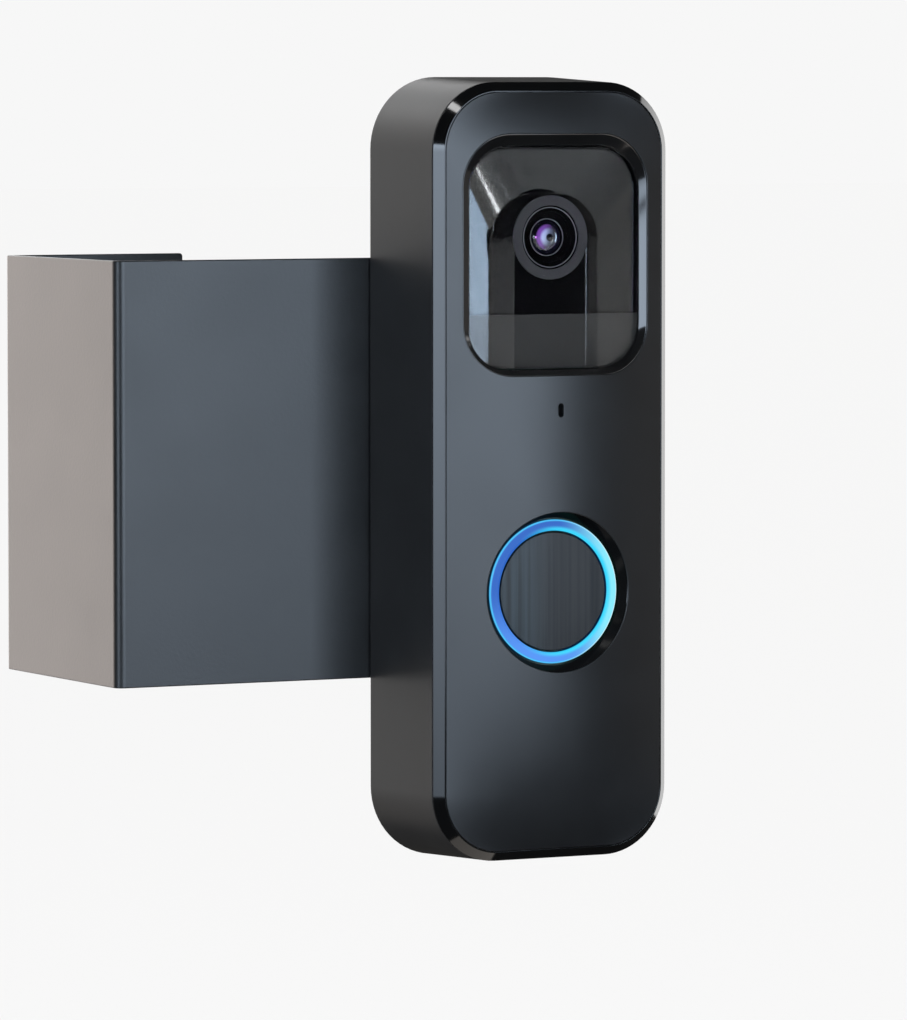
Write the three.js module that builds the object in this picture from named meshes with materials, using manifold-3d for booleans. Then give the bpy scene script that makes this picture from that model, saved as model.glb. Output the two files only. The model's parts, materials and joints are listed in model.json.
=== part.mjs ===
// Battery video doorbell on a clamp-on door bracket, as an assembly of separate pieces.
// Millimetres. +Z is up, -Y is outward (what a visitor faces), +Y goes into the door, +X is to the right.
// The origin is on the door's outer face, behind the middle of the doorbell.
import * as THREE from "three";
import { mergeVertices } from "three/addons/utils/BufferGeometryUtils.js";
import Module from "manifold-3d";

const wasm = await Module();
wasm.setup();

// ---- driving dimensions ----
const GAP = 0.1; // between glued or seated pieces
const RUNNING_GAP = 0.2; // between pieces that slide on each other

// bracket, bent from one strip of steel sheet
const SHEET = 1.2;
const SHEET_HALF_HEIGHT = 35;
const SHEET_FRONT_Y = -2.5;
const SHEET_EDGE_X = -68.8;
const SHEET_REAR_Y = 42.6;
const SHEET_RIGHT_X = 21;
const FLANGE_RIGHT_X = -36;
const BEND_RADIUS = 1.6;
const PAD_HALF_HEIGHT = 32;
const FACE_PAD_LEFT_X = -62;
const FACE_PAD_RIGHT_X = 18;
const EDGE_PAD_THICKNESS = 1.2;
const EDGE_PAD_MARGIN = 3; // from each edge of the door
const DOOR_THICKNESS = 38;

// clamp behind the door
const PLATE_LEFT_X = -64;
const PLATE_RIGHT_X = -40;
const PLATE_HALF_HEIGHT = 30;
const PRESSURE_PAD_THICKNESS = 1.2;
const CLAMP_SCREW_X = -52;
const CLAMP_SCREW_Z = 20;
const CLAMP_THREAD_RADIUS = 2;
const CLAMP_HEAD_RADIUS = 3.6;
const CLAMP_HEAD_HEIGHT = 4;
const CLAMP_HEAD_Y = 47.5;
const CLAMP_SOCKET_RADIUS = 1.5;
const CLAMP_SOCKET_DEPTH = 2.2;

// doorbell body
const BACK_Y = -2.6;
const SEAM_Y = -23.95;
const SEAM_GAP = 0.2;
const BODY_BACK = { width: 45.3, height: 130, corner: 12 };
const BODY_SEAM = { width: 43.5, height: 128.3, corner: 11.4 };
const BACK_BEVEL = 0.5;
const WALL = 2;
const CHAMFER_DEPTH = 1.5;
const CHAMFER_WIDTH = 1.5;
const FACE_Y = SEAM_Y - CHAMFER_DEPTH;
const CROWN = 2.5; // how far the middle of the face stands proud of its rim
const CROWN_POWER = 6; // how late the face turns down towards its top and bottom ends
const COVER_CEILING_Y = -24.3;
const SKIRT_BACK_Y = -21.5;
const SKIRT_INSET = 2.3;
const SKIRT_WALL = 1.2;

// camera window
const MOUTH = { width: 34.7, height: 40, corner: 8.8, z: 35.8 };
const GLASS = { width: 31.8, height: 36.9, corner: 7.4, z: 35.3 };
const GLASS_Y = -25.28;
const GLASS_BACK_Y = -24.3;
const BEZEL_LIP_Y = -25.45;
const BEZEL_BACK_Y = -23.4;
const BAND_TOP_Z = 26;
const LENS_Z = 38.6;

// camera hood and optics
const HOOD_FRONT_Y = -24.2;
const HOOD_BACK_Y = -19.2;
const POST_FRONT_Y = -23.9;
const POST_HALF_WIDTH = 6.8;
const GROOVE_Y = -21;
const GROOVE_HALF_WIDTH = 10;
const GROOVE_TOP_Z = 45.8;
const LENS_RING_RADIUS = 6.93;
const LENS_RADIUS = 5.25;
const BARREL_RADIUS = 5.1;
const MOTION_SENSOR_Z = 21.2;

// microphone
const MIC_Z = 10.2;
const MIC_SLOT = { width: 1.2, height: 2.4 };

// push button and light ring
const BUTTON_Z = -19.85;
const BUTTON_MOUTH_RADIUS = 13.35;
const BUTTON_WALL_RADIUS = 12.25;
const RING_OUTER_RADIUS = 12;
const RING_INNER_RADIUS = 10;
const RING_BACK_Y = -24.15;
const RING_Y = -25.35;
const RING_EDGE = 0.35;
const CAP_RADIUS = 9.8;
const CAP_Y = -25.25;
const CAP_EDGE = 0.15;
const CAP_SKIRT_Y = -24.2;

// boards
const BOARD = 1;
const MAIN_BOARD_FRONT_Y = -22.3;
const CAMERA_BOARD_FRONT_Y = -10.6;

// battery bay
const CELL_RADIUS = 7.1;
const CELL_LENGTH = 50.5;
const CELL_X = 7.6;
const CELL_Y = -13.3;
const CELL_BOTTOM_Z = -49.5;

// back of the unit and its wall plate
const BACK_COVER = { front: -5.9, back: -4.8 };
const MOUNT_PLATE = { front: -4.5, back: -2.6 };
const PLATE_SCREW_Z = 22;
const PLATE_SCREW_HOLE_RADIUS = 1.75;
const PLATE_SCREW_SHANK_RADIUS = 1.5;
const PLATE_SCREW_HEAD_RADIUS = 3;
const HANGING_SLOT = { width: 3.6, height: 7, corner: 1.8 };
const HANGING_SLOT_X = 14;
const HANGING_SLOT_Z = 48;
const COVER_SCREW = { x: 15.2, z: 56.5 };
const TERMINAL = { x: 5.5, z: 35 };
const TERMINAL_POCKET = { width: 21, height: 12, corner: 1, z: 35 };
const SYNC_Z = 13;
const SYNC_RADIUS = 2;
const LATCH_Z = -55;
const LATCH = { halfWidth: 3.6, below: 2.8, above: 0.9 };

const ROUND = 32; // sides of a large circle
const SMALL_ROUND = 16; // sides of a small circle
const CORNER_STEPS = 7; // steps round a corner of an outline
const BUTTON_SIDES = 40;
const THROUGH = 2; // how far a cutter stands out past the wall it cuts
const BOTH_SIDES = [-1, 1];

// ---- materials ----
const material = (color, roughness, metalness) =>
  new THREE.MeshStandardMaterial({ color, roughness, metalness });
const painted = material(0x2a2e33, 0.45, 0.3);
const satin = material(0x1d1f21, 0.5, 0);
const gloss = material(0x0b0c0d, 0.12, 0);
const clear = material(0x16191c, 0.05, 0);
const tinted = material(0x3c3d3e, 0.2, 0);
const lensGlass = material(0x20203a, 0.03, 0);
const ringGrey = material(0x55585a, 0.5, 0.2);
const lit = material(0x3c8cff, 0.3, 0);
const capGrey = material(0x404244, 0.4, 0);
const plastic = material(0x2b2d2f, 0.6, 0);
const rubber = material(0x141414, 0.85, 0);
const circuit = material(0x1c4a34, 0.55, 0);
const steel = material(0xb9bcc0, 0.3, 1);
const copper = material(0xc9a45c, 0.35, 1);
const cell = material(0x8c9196, 0.35, 0.6);

// ---- helpers ----
const group = new THREE.Group();

// Adds one named piece.
function piece(name, geometry, finish) {
  geometry.computeVertexNormals();
  const mesh = new THREE.Mesh(geometry, finish);
  mesh.name = name;
  group.add(mesh);
}

// A rectangle with round corners, as an outline in X and Z round the point (x, z).
function roundedOutline({ width, height, corner, x = 0, z = 0 }, steps = CORNER_STEPS) {
  const points = [];
  const centres = [
    [width / 2 - corner, height / 2 - corner, 0],
    [corner - width / 2, height / 2 - corner, 1],
    [corner - width / 2, corner - height / 2, 2],
    [width / 2 - corner, corner - height / 2, 3],
  ];
  for (const [cx, cz, quarter] of centres) {
    for (let i = 0; i <= steps; i++) {
      const angle = (quarter + i / steps) * (Math.PI / 2);
      points.push(new THREE.Vector2(x + cx + corner * Math.cos(angle), z + cz + corner * Math.sin(angle)));
    }
  }
  return points;
}

// A block between z0 and z1 whose top and bottom corners have their own radii.
function tabOutline(width, z0, z1, topCorner, bottomCorner) {
  const half = width / 2;
  const points = [];
  const arc = (cx, cz, radius, quarter) => {
    if (radius === 0) {
      points.push(new THREE.Vector2(cx, cz));
      return;
    }
    for (let i = 0; i <= CORNER_STEPS; i++) {
      const angle = (quarter + i / CORNER_STEPS) * (Math.PI / 2);
      points.push(new THREE.Vector2(cx + radius * Math.cos(angle), cz + radius * Math.sin(angle)));
    }
  };
  arc(half - topCorner, z1 - topCorner, topCorner, 0);
  arc(topCorner - half, z1 - topCorner, topCorner, 1);
  arc(bottomCorner - half, z0 + bottomCorner, bottomCorner, 2);
  arc(half - bottomCorner, z0 + bottomCorner, bottomCorner, 3);
  return points;
}

// The same outline grown (or, if negative, shrunk) by a margin all round.
function grown(outline, margin) {
  return {
    ...outline,
    width: outline.width + 2 * margin,
    height: outline.height + 2 * margin,
    corner: Math.max(outline.corner + margin, 0.5),
  };
}

// Extrudes an X-Z outline along Y, from the back plane forward to the front plane.
function prism(points, backY, frontY) {
  const geometry = new THREE.ExtrudeGeometry(new THREE.Shape(points), {
    depth: backY - frontY,
    bevelEnabled: false,
  });
  return geometry.rotateX(Math.PI / 2).translate(0, backY, 0);
}

// A box from its two corners.
function block(x0, x1, y0, y1, z0, z1) {
  const box = new THREE.BoxGeometry(x1 - x0, y1 - y0, z1 - z0);
  return box.translate((x0 + x1) / 2, (y0 + y1) / 2, (z0 + z1) / 2);
}

// A solid of revolution about an axis along Y. The profile is [radius, y] from the back to the front.
function turned(profile, x, z, sides = ROUND) {
  const points = profile.map(([radius, y]) => new THREE.Vector2(radius, y)).reverse();
  return new THREE.LatheGeometry(points, sides).translate(x, 0, z);
}

// A rod along Y.
const rod = (radius, backY, frontY, x, z, sides = SMALL_ROUND) =>
  turned([[0, backY], [radius, backY], [radius, frontY], [0, frontY]], x, z, sides);

// A closed solid through equal outlines, each a list of [x, y, z], from the back to the front.
function loft(sections) {
  const count = sections[0].length;
  const positions = sections.flat(2);
  const index = [];
  for (let s = 0; s + 1 < sections.length; s++) {
    for (let i = 0; i < count; i++) {
      const a = s * count + i;
      const b = s * count + ((i + 1) % count);
      index.push(a, b, b + count, a, b + count, a + count);
    }
  }
  const last = (sections.length - 1) * count;
  const cap = (points) => points.map(([x, , z]) => new THREE.Vector2(x, z));
  for (const [a, b, c] of THREE.ShapeUtils.triangulateShape(cap(sections[0]), [])) index.push(a, c, b);
  for (const [a, b, c] of THREE.ShapeUtils.triangulateShape(cap(sections[sections.length - 1]), [])) {
    index.push(last + a, last + b, last + c);
  }
  const geometry = new THREE.BufferGeometry();
  geometry.setAttribute("position", new THREE.Float32BufferAttribute(positions, 3));
  geometry.setIndex(index);
  return geometry;
}

// An outline laid at one depth, or at a depth worked out from x and z.
const at = (points, y) => points.map((p) => [p.x, typeof y === "function" ? y(p.x, p.y) : y, p.y]);

// A ring whose cross-section is the same list of outlines all the way round, each an array of [x, y, z].
function ringLoft(outlines) {
  const count = outlines[0].length;
  const index = [];
  outlines.forEach((_, s) => {
    const next = ((s + 1) % outlines.length) * count;
    for (let i = 0; i < count; i++) {
      const j = (i + 1) % count;
      index.push(s * count + i, s * count + j, next + j, s * count + i, next + j, next + i);
    }
  });
  const geometry = new THREE.BufferGeometry();
  geometry.setAttribute("position", new THREE.Float32BufferAttribute(outlines.flat(2), 3));
  geometry.setIndex(index);
  return geometry;
}

// A closed geometry as a manifold-3d solid, and back.
function solid(geometry) {
  const bare = new THREE.BufferGeometry();
  const loose = geometry.index ? geometry.toNonIndexed() : geometry;
  bare.setAttribute("position", loose.getAttribute("position"));
  const merged = mergeVertices(bare, 1e-4);
  return new wasm.Manifold(
    new wasm.Mesh({
      numProp: 3,
      vertProperties: merged.attributes.position.array,
      triVerts: new Uint32Array(merged.index.array),
    }),
  );
}

function shaped(manifold) {
  const mesh = manifold.getMesh();
  const geometry = new THREE.BufferGeometry();
  geometry.setAttribute("position", new THREE.BufferAttribute(new Float32Array(mesh.vertProperties), 3));
  geometry.setIndex(new THREE.BufferAttribute(new Uint32Array(mesh.triVerts), 1));
  return geometry.toNonIndexed();
}

// The first geometry with others joined on and then others cut away.
function built(base, { join = [], cut = [] }) {
  const joined = join.reduce((made, geometry) => made.add(solid(geometry)), solid(base));
  return shaped(cut.reduce((made, geometry) => made.subtract(solid(geometry)), joined));
}

// ---- the face's shape ----
const FACE_RIM = grown(BODY_SEAM, -CHAMFER_WIDTH);

// Half the rim's width at a height z.
function rimHalfWidth(z) {
  const straight = FACE_RIM.height / 2 - FACE_RIM.corner;
  const over = Math.min(Math.max(Math.abs(z) - straight, 0), FACE_RIM.corner);
  return FACE_RIM.width / 2 - FACE_RIM.corner + Math.sqrt(FACE_RIM.corner ** 2 - over ** 2);
}

// The depth of the crowned face: a parabola across, flat down the middle, and turned down at both ends.
function faceY(x, z) {
  const across = 1 - Math.min(Math.abs(x) / rimHalfWidth(z), 1) ** 2;
  const along = 1 - Math.min(Math.abs(z) / (FACE_RIM.height / 2), 1) ** CROWN_POWER;
  return FACE_Y - CROWN * across * along;
}

// ---- door bracket ----
// The strip's path seen from above: front plate, bend, edge plate, bend, rear flange.
function bracketSection() {
  const inner = BEND_RADIUS - SHEET;
  const outline = new THREE.Shape();
  const left = SHEET_EDGE_X;
  outline.moveTo(SHEET_RIGHT_X, SHEET_FRONT_Y);
  outline.lineTo(SHEET_RIGHT_X, SHEET_FRONT_Y + SHEET);
  outline.lineTo(left + BEND_RADIUS, SHEET_FRONT_Y + SHEET);
  outline.absarc(left + BEND_RADIUS, SHEET_FRONT_Y + BEND_RADIUS, inner, -Math.PI / 2, Math.PI, true);
  outline.lineTo(left + SHEET, SHEET_REAR_Y - BEND_RADIUS);
  outline.absarc(left + BEND_RADIUS, SHEET_REAR_Y - BEND_RADIUS, inner, Math.PI, Math.PI / 2, true);
  outline.lineTo(FLANGE_RIGHT_X, SHEET_REAR_Y - SHEET);
  outline.lineTo(FLANGE_RIGHT_X, SHEET_REAR_Y);
  outline.lineTo(left + BEND_RADIUS, SHEET_REAR_Y);
  outline.absarc(left + BEND_RADIUS, SHEET_REAR_Y - BEND_RADIUS, BEND_RADIUS, Math.PI / 2, Math.PI, false);
  outline.lineTo(left, SHEET_FRONT_Y + BEND_RADIUS);
  outline.absarc(left + BEND_RADIUS, SHEET_FRONT_Y + BEND_RADIUS, BEND_RADIUS, Math.PI, Math.PI * 1.5, false);
  return outline;
}

const sheet = new THREE.ExtrudeGeometry(bracketSection(), {
  depth: 2 * SHEET_HALF_HEIGHT,
  bevelEnabled: false,
  curveSegments: 6,
}).translate(0, 0, -SHEET_HALF_HEIGHT);
const sheetFrontInner = SHEET_FRONT_Y + SHEET;
const sheetRearInner = SHEET_REAR_Y - SHEET;
const plateScrewHole = (side) =>
  rod(PLATE_SCREW_HOLE_RADIUS, sheetFrontInner + THROUGH, SHEET_FRONT_Y - THROUGH, 0, side * PLATE_SCREW_Z);
const clampScrewHole = (side) =>
  rod(
    CLAMP_THREAD_RADIUS + RUNNING_GAP, SHEET_REAR_Y + THROUGH, sheetRearInner - THROUGH,
    CLAMP_SCREW_X, side * CLAMP_SCREW_Z,
  );
piece(
  "bracket_sheet",
  built(sheet, { cut: [...BOTH_SIDES.map(plateScrewHole), ...BOTH_SIDES.map(clampScrewHole)] }),
  painted,
);

const facePad = block(
  FACE_PAD_LEFT_X, FACE_PAD_RIGHT_X, sheetFrontInner + GAP, 0, -PAD_HALF_HEIGHT, PAD_HALF_HEIGHT,
);
const padScrewRadius = PLATE_SCREW_HOLE_RADIUS + 0.65;
piece(
  "door_face_pad",
  built(facePad, {
    cut: BOTH_SIDES.map((side) => rod(padScrewRadius, THROUGH, SHEET_FRONT_Y, 0, side * PLATE_SCREW_Z)),
  }),
  rubber,
);
const edgePadX = SHEET_EDGE_X + SHEET + GAP;
piece(
  "door_edge_pad",
  block(
    edgePadX, edgePadX + EDGE_PAD_THICKNESS, EDGE_PAD_MARGIN, DOOR_THICKNESS - EDGE_PAD_MARGIN,
    -PAD_HALF_HEIGHT, PAD_HALF_HEIGHT,
  ),
  rubber,
);

// ---- clamp behind the door ----
const pressurePadBack = DOOR_THICKNESS + PRESSURE_PAD_THICKNESS;
const pressurePlateFront = pressurePadBack + GAP;
const pressurePlateBack = pressurePlateFront + SHEET;
piece(
  "pressure_pad",
  block(PLATE_LEFT_X, PLATE_RIGHT_X, DOOR_THICKNESS, pressurePadBack, -PLATE_HALF_HEIGHT, PLATE_HALF_HEIGHT),
  rubber,
);
piece(
  "pressure_plate",
  block(
    PLATE_LEFT_X, PLATE_RIGHT_X, pressurePlateFront, pressurePlateBack,
    -PLATE_HALF_HEIGHT, PLATE_HALF_HEIGHT,
  ),
  painted,
);
for (const [name, side] of [["clamp_screw_lower", -1], ["clamp_screw_upper", 1]]) {
  const tip = pressurePlateBack + GAP;
  const head = CLAMP_HEAD_Y + CLAMP_HEAD_HEIGHT;
  const edge = 0.4;
  const profile = [
    [0, head],
    [CLAMP_HEAD_RADIUS - edge, head],
    [CLAMP_HEAD_RADIUS, head - edge],
    [CLAMP_HEAD_RADIUS, CLAMP_HEAD_Y],
    [CLAMP_THREAD_RADIUS, CLAMP_HEAD_Y],
    [CLAMP_THREAD_RADIUS, tip + edge],
    [CLAMP_THREAD_RADIUS - edge, tip],
    [0, tip],
  ];
  const z = side * CLAMP_SCREW_Z;
  const socket = rod(CLAMP_SOCKET_RADIUS, head + THROUGH, head - CLAMP_SOCKET_DEPTH, CLAMP_SCREW_X, z, 6);
  piece(name, built(turned(profile, CLAMP_SCREW_X, z, 24), { cut: [socket] }), steel);
}

// ---- wall plate that the doorbell hangs on ----
const plateOutline = grown(BODY_BACK, -2.6);
const plateBehind = MOUNT_PLATE.back + THROUGH;
const plateAhead = MOUNT_PLATE.front - THROUGH;
// A cut right through the plate, from its outline.
const plateCut = (outline) => prism(roundedOutline(outline), plateBehind, plateAhead);
const hangingSlots = BOTH_SIDES.flatMap((side) =>
  BOTH_SIDES.map((end) => plateCut({ ...HANGING_SLOT, x: side * HANGING_SLOT_X, z: end * HANGING_SLOT_Z })),
);
const screwSeatY = MOUNT_PLATE.front + 0.9;
const screwSeatRadius = PLATE_SCREW_HEAD_RADIUS + 0.3;
piece(
  "mounting_plate",
  built(prism(roundedOutline(plateOutline), MOUNT_PLATE.back, MOUNT_PLATE.front), {
    cut: [
      plateCut(grown(TERMINAL_POCKET, 0.5)),
      plateCut({ width: 9, height: 6.4, corner: 0.6, z: LATCH_Z }),
      plateCut({ width: 12, height: 4, corner: 2, z: 0 }),
      ...BOTH_SIDES.map((side) =>
        rod(PLATE_SCREW_HOLE_RADIUS, plateBehind, plateAhead, 0, side * PLATE_SCREW_Z),
      ),
      ...BOTH_SIDES.map((side) => rod(screwSeatRadius, screwSeatY, plateAhead, 0, side * PLATE_SCREW_Z, 24)),
      ...hangingSlots,
      rod(SYNC_RADIUS + 0.6, plateBehind, plateAhead, 0, SYNC_Z, SMALL_ROUND),
    ],
  }),
  plastic,
);
for (const [name, side] of [["plate_screw_lower", -1], ["plate_screw_upper", 1]]) {
  const tipY = -1;
  const underHeadY = screwSeatY - GAP;
  const rimY = underHeadY - 0.5;
  const profile = [
    [0, tipY],
    [PLATE_SCREW_SHANK_RADIUS, tipY],
    [PLATE_SCREW_SHANK_RADIUS, underHeadY],
    [PLATE_SCREW_HEAD_RADIUS, underHeadY],
    [PLATE_SCREW_HEAD_RADIUS, rimY],
    [PLATE_SCREW_HEAD_RADIUS - 0.6, MOUNT_PLATE.front],
    [0, MOUNT_PLATE.front],
  ];
  piece(name, turned(profile, 0, side * PLATE_SCREW_Z, 20), steel);
}
// The latch is a flat finger in a slot of the plate. Its thumb end shows under the unit's release hole.
piece(
  "release_latch",
  block(
    -LATCH.halfWidth, LATCH.halfWidth, MOUNT_PLATE.front + RUNNING_GAP, MOUNT_PLATE.back - RUNNING_GAP,
    LATCH_Z - LATCH.below, LATCH_Z + LATCH.above,
  ),
  plastic,
);

// ---- the doorbell's outer shell ----
const bevelled = grown(BODY_BACK, -BACK_BEVEL);
const outerShell = loft([
  at(roundedOutline(bevelled), BACK_Y),
  at(roundedOutline(BODY_BACK), BACK_Y - BACK_BEVEL),
  at(roundedOutline(BODY_SEAM), SEAM_Y + SEAM_GAP),
]);
const innerShell = loft([
  at(roundedOutline(grown(BODY_BACK, -WALL)), BACK_Y + 1),
  at(roundedOutline(grown(BODY_SEAM, -WALL)), SEAM_Y - 1),
]);
const shellBottom = -BODY_BACK.height / 2;
const speakerPitch = 3.2;
const speakerSlots = [-2, -1, 0, 1, 2].map((i) =>
  block(i * speakerPitch - 0.6, i * speakerPitch + 0.6, -18, -10, shellBottom - 5, shellBottom + 7),
);
const releaseHole = block(-3, 3, -5.5, -3.4, shellBottom - 5, shellBottom + 5);
piece(
  "main_housing",
  built(outerShell, { cut: [innerShell, ...speakerSlots, releaseHole] }),
  satin,
);

// Rings of the face's outline drawn in towards its middle, each point at the crowned depth.
function crownedFace() {
  const rim = roundedOutline(FACE_RIM);
  const sections = [
    at(roundedOutline(BODY_SEAM), SEAM_Y),
    at(rim, FACE_Y),
  ];
  for (const share of [0.93, 0.83, 0.7, 0.54, 0.36, 0.18, 0.02]) {
    sections.push(at(rim.map((p) => p.clone().multiplyScalar(share)), faceY));
  }
  return loft(sections);
}
const skirt = grown(BODY_SEAM, -SKIRT_INSET);
const bosses = BOTH_SIDES.flatMap((sx) => BOTH_SIDES.map((sz) => [sx * COVER_SCREW.x, sz * COVER_SCREW.z]));
const micSlot = prism(
  roundedOutline({ ...MIC_SLOT, corner: MIC_SLOT.width / 2, z: MIC_Z }, 4),
  SKIRT_BACK_Y + 1, FACE_Y - CROWN - 1,
);
const hollowed = built(crownedFace(), {
  join: [prism(roundedOutline(skirt), SKIRT_BACK_Y, SEAM_Y - 0.5)],
  cut: [prism(roundedOutline(grown(skirt, -SKIRT_WALL)), SKIRT_BACK_Y + 1, COVER_CEILING_Y)],
});
const bezelGap = 0.15;
const behindFace = -20;
const aheadOfFace = -30;
const bossBackY = -12;
const boreRadius = 1.2;
piece(
  "front_cover",
  built(hollowed, {
    join: bosses.map(([x, z]) => rod(2 * boreRadius, bossBackY, COVER_CEILING_Y - 0.2, x, z)),
    cut: [
      prism(roundedOutline(grown(MOUTH, bezelGap)), behindFace, aheadOfFace),
      rod(BUTTON_MOUTH_RADIUS + bezelGap, behindFace, aheadOfFace, 0, BUTTON_Z, BUTTON_SIDES),
      micSlot,
      ...bosses.map(([x, z]) => rod(boreRadius, bossBackY + 1, -20.5, x, z, 12)),
    ],
  }),
  satin,
);
const coverScrewProfile = [[0, -4.9], [1.9, -4.9], [1.9, -5.7], [1, -5.7], [1, -20], [0, -20]];
bosses.forEach(([x, z], i) => {
  piece("cover_screw_" + (i + 1), turned(coverScrewProfile, x, z, 12), steel);
});

// ---- camera window ----
const mouthPoints = roundedOutline(MOUTH);
const glassPoints = roundedOutline(GLASS);
piece(
  "window_bezel",
  ringLoft([
    at(mouthPoints, BEZEL_BACK_Y),
    at(mouthPoints, (x, z) => faceY(x, z) + 0.05),
    at(glassPoints, BEZEL_LIP_Y),
    at(glassPoints, BEZEL_BACK_Y),
  ]),
  gloss,
);
const pane = grown(GLASS, -0.15);
const paneTop = pane.z + pane.height / 2;
const paneBottom = pane.z - pane.height / 2;
const seam = 0.04;
piece(
  "camera_window",
  prism(tabOutline(pane.width, BAND_TOP_Z + seam, paneTop, pane.corner, 0), GLASS_BACK_Y, GLASS_Y),
  clear,
);
piece(
  "motion_window",
  prism(tabOutline(pane.width, paneBottom, BAND_TOP_Z - seam, 0, pane.corner), GLASS_BACK_Y, GLASS_Y),
  tinted,
);

// ---- camera hood: a glossy trough round a post that carries the lens ----
const hoodOuter = grown(GLASS, -0.25);
const hoodBottom = hoodOuter.z - hoodOuter.height / 2;
const troughBottom = hoodBottom - 2;
const troughMouth = tabOutline(
  hoodOuter.width - 1, troughBottom, hoodOuter.z + hoodOuter.height / 2 - 0.5, hoodOuter.corner - 0.5, 0.5,
);
const trough = loft([
  at(tabOutline(2 * GROOVE_HALF_WIDTH, troughBottom, GROOVE_TOP_Z, 1.5, 0.5), GROOVE_Y),
  at(troughMouth, HOOD_FRONT_Y),
  at(troughMouth, HOOD_FRONT_Y - 1),
]);
const postCorner = 8;
const postFront = tabOutline(2 * POST_HALF_WIDTH, hoodBottom, LENS_Z + POST_HALF_WIDTH, POST_HALF_WIDTH, 0.5);
const post = loft([
  at(tabOutline(2 * GROOVE_HALF_WIDTH, hoodBottom, GROOVE_TOP_Z, postCorner, 0.5), GROOVE_Y + 0.5),
  at(tabOutline(2 * GROOVE_HALF_WIDTH - 0.4, hoodBottom, GROOVE_TOP_Z - 0.2, postCorner, 0.5), GROOVE_Y),
  at(postFront, POST_FRONT_Y),
]);
const hoodBlock = prism(roundedOutline(hoodOuter), HOOD_BACK_Y, HOOD_FRONT_Y);
piece(
  "camera_hood",
  built(built(built(hoodBlock, { cut: [trough] }), { join: [post] }), {
    cut: [
      rod(BARREL_RADIUS + 0.15, HOOD_BACK_Y + 1, POST_FRONT_Y - 1, 0, LENS_Z, 24),
      rod(4.4, HOOD_BACK_Y + 1, -23.2, 0, MOTION_SENSOR_Z, 20),
    ],
  }),
  gloss,
);
const lensRingProfile = [
  [LENS_RADIUS, -23.95],
  [LENS_RING_RADIUS, -23.95],
  [LENS_RING_RADIUS, -24.15],
  [LENS_RING_RADIUS - 0.1, -24.24],
  [LENS_RADIUS, -24.2],
  [LENS_RADIUS, -23.95],
];
piece("lens_ring", turned(lensRingProfile, 0, LENS_Z), ringGrey);

// The barrel's rear opening, its front recess, and the step that the inner lens stands on.
const barrelBackY = -12;
const barrelBore = 2.6;
const barrelProfile = [
  [barrelBore, barrelBackY],
  [BARREL_RADIUS, barrelBackY],
  [BARREL_RADIUS, POST_FRONT_Y],
  [4.75, POST_FRONT_Y],
  [4.75, -21.9],
  [4.2, -21.9],
  [4.2, -17.9],
  [barrelBore, -17.9],
  [barrelBore, barrelBackY],
];
piece("lens_barrel", turned(barrelProfile, 0, LENS_Z), gloss);
const frontLensProfile = [[0, -22], [4.6, -22], [4.6, -22.9], [3.2, -23.5], [1.6, -23.8], [0, -23.88]];
piece("front_lens", turned(frontLensProfile, 0, LENS_Z), lensGlass);
const innerLensProfile = [[0, -18], [4, -18], [4, -18.9], [2.2, -19.6], [0, -19.9]];
piece("inner_lens", turned(innerLensProfile, 0, LENS_Z, 24), lensGlass);
const holderHalf = 7;
piece(
  "lens_holder",
  built(block(-holderHalf, holderHalf, -19, -11.7, LENS_Z - holderHalf, LENS_Z + holderHalf), {
    cut: [rod(BARREL_RADIUS + 0.15, -11, -20, 0, LENS_Z, 24)],
  }),
  plastic,
);
const sensorHalf = 3.6;
piece(
  "image_sensor",
  block(
    -sensorHalf, sensorHalf, -11.55, CAMERA_BOARD_FRONT_Y - GAP,
    LENS_Z - sensorHalf, LENS_Z + sensorHalf,
  ),
  lensGlass,
);
piece(
  "camera_board",
  block(-14, 14, CAMERA_BOARD_FRONT_Y, CAMERA_BOARD_FRONT_Y + BOARD, 9, 52),
  circuit,
);
const motionSensorProfile = [
  [0, CAMERA_BOARD_FRONT_Y - 0.2],
  [1.2, CAMERA_BOARD_FRONT_Y - 0.2],
  [1.2, -19.6],
  [4.1, -19.6],
  [4.1, -22.7],
  [3.8, -23.05],
  [0, -23.05],
];
piece("motion_sensor", turned(motionSensorProfile, 0, MOTION_SENSOR_Z, 20), steel);

// ---- push button with its light ring ----
const circlePoints = (radius, sides) =>
  Array.from({ length: sides }, (_, i) => {
    const angle = (2 * Math.PI * i) / sides;
    return new THREE.Vector2(radius * Math.cos(angle), BUTTON_Z + radius * Math.sin(angle));
  });
const bezelBackY = -24.2;
piece(
  "button_bezel",
  ringLoft([
    at(circlePoints(BUTTON_MOUTH_RADIUS, BUTTON_SIDES), bezelBackY),
    at(circlePoints(BUTTON_MOUTH_RADIUS, BUTTON_SIDES), (x, z) => faceY(x, z) + 0.05),
    at(circlePoints(BUTTON_WALL_RADIUS, BUTTON_SIDES), RING_Y),
    at(circlePoints(BUTTON_WALL_RADIUS, BUTTON_SIDES), bezelBackY),
  ]),
  gloss,
);
const ringProfile = [
  [RING_INNER_RADIUS, RING_BACK_Y],
  [RING_OUTER_RADIUS, RING_BACK_Y],
  [RING_OUTER_RADIUS, RING_Y + 0.2],
  [RING_OUTER_RADIUS - RING_EDGE, RING_Y],
  [RING_INNER_RADIUS + RING_EDGE, RING_Y],
  [RING_INNER_RADIUS, RING_Y + 0.2],
  [RING_INNER_RADIUS, RING_BACK_Y],
];
piece("light_ring", turned(ringProfile, 0, BUTTON_Z, BUTTON_SIDES), lit);
const lightBoardBackY = -23.3;
const lightBoardFrontY = RING_BACK_Y + GAP;
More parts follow.
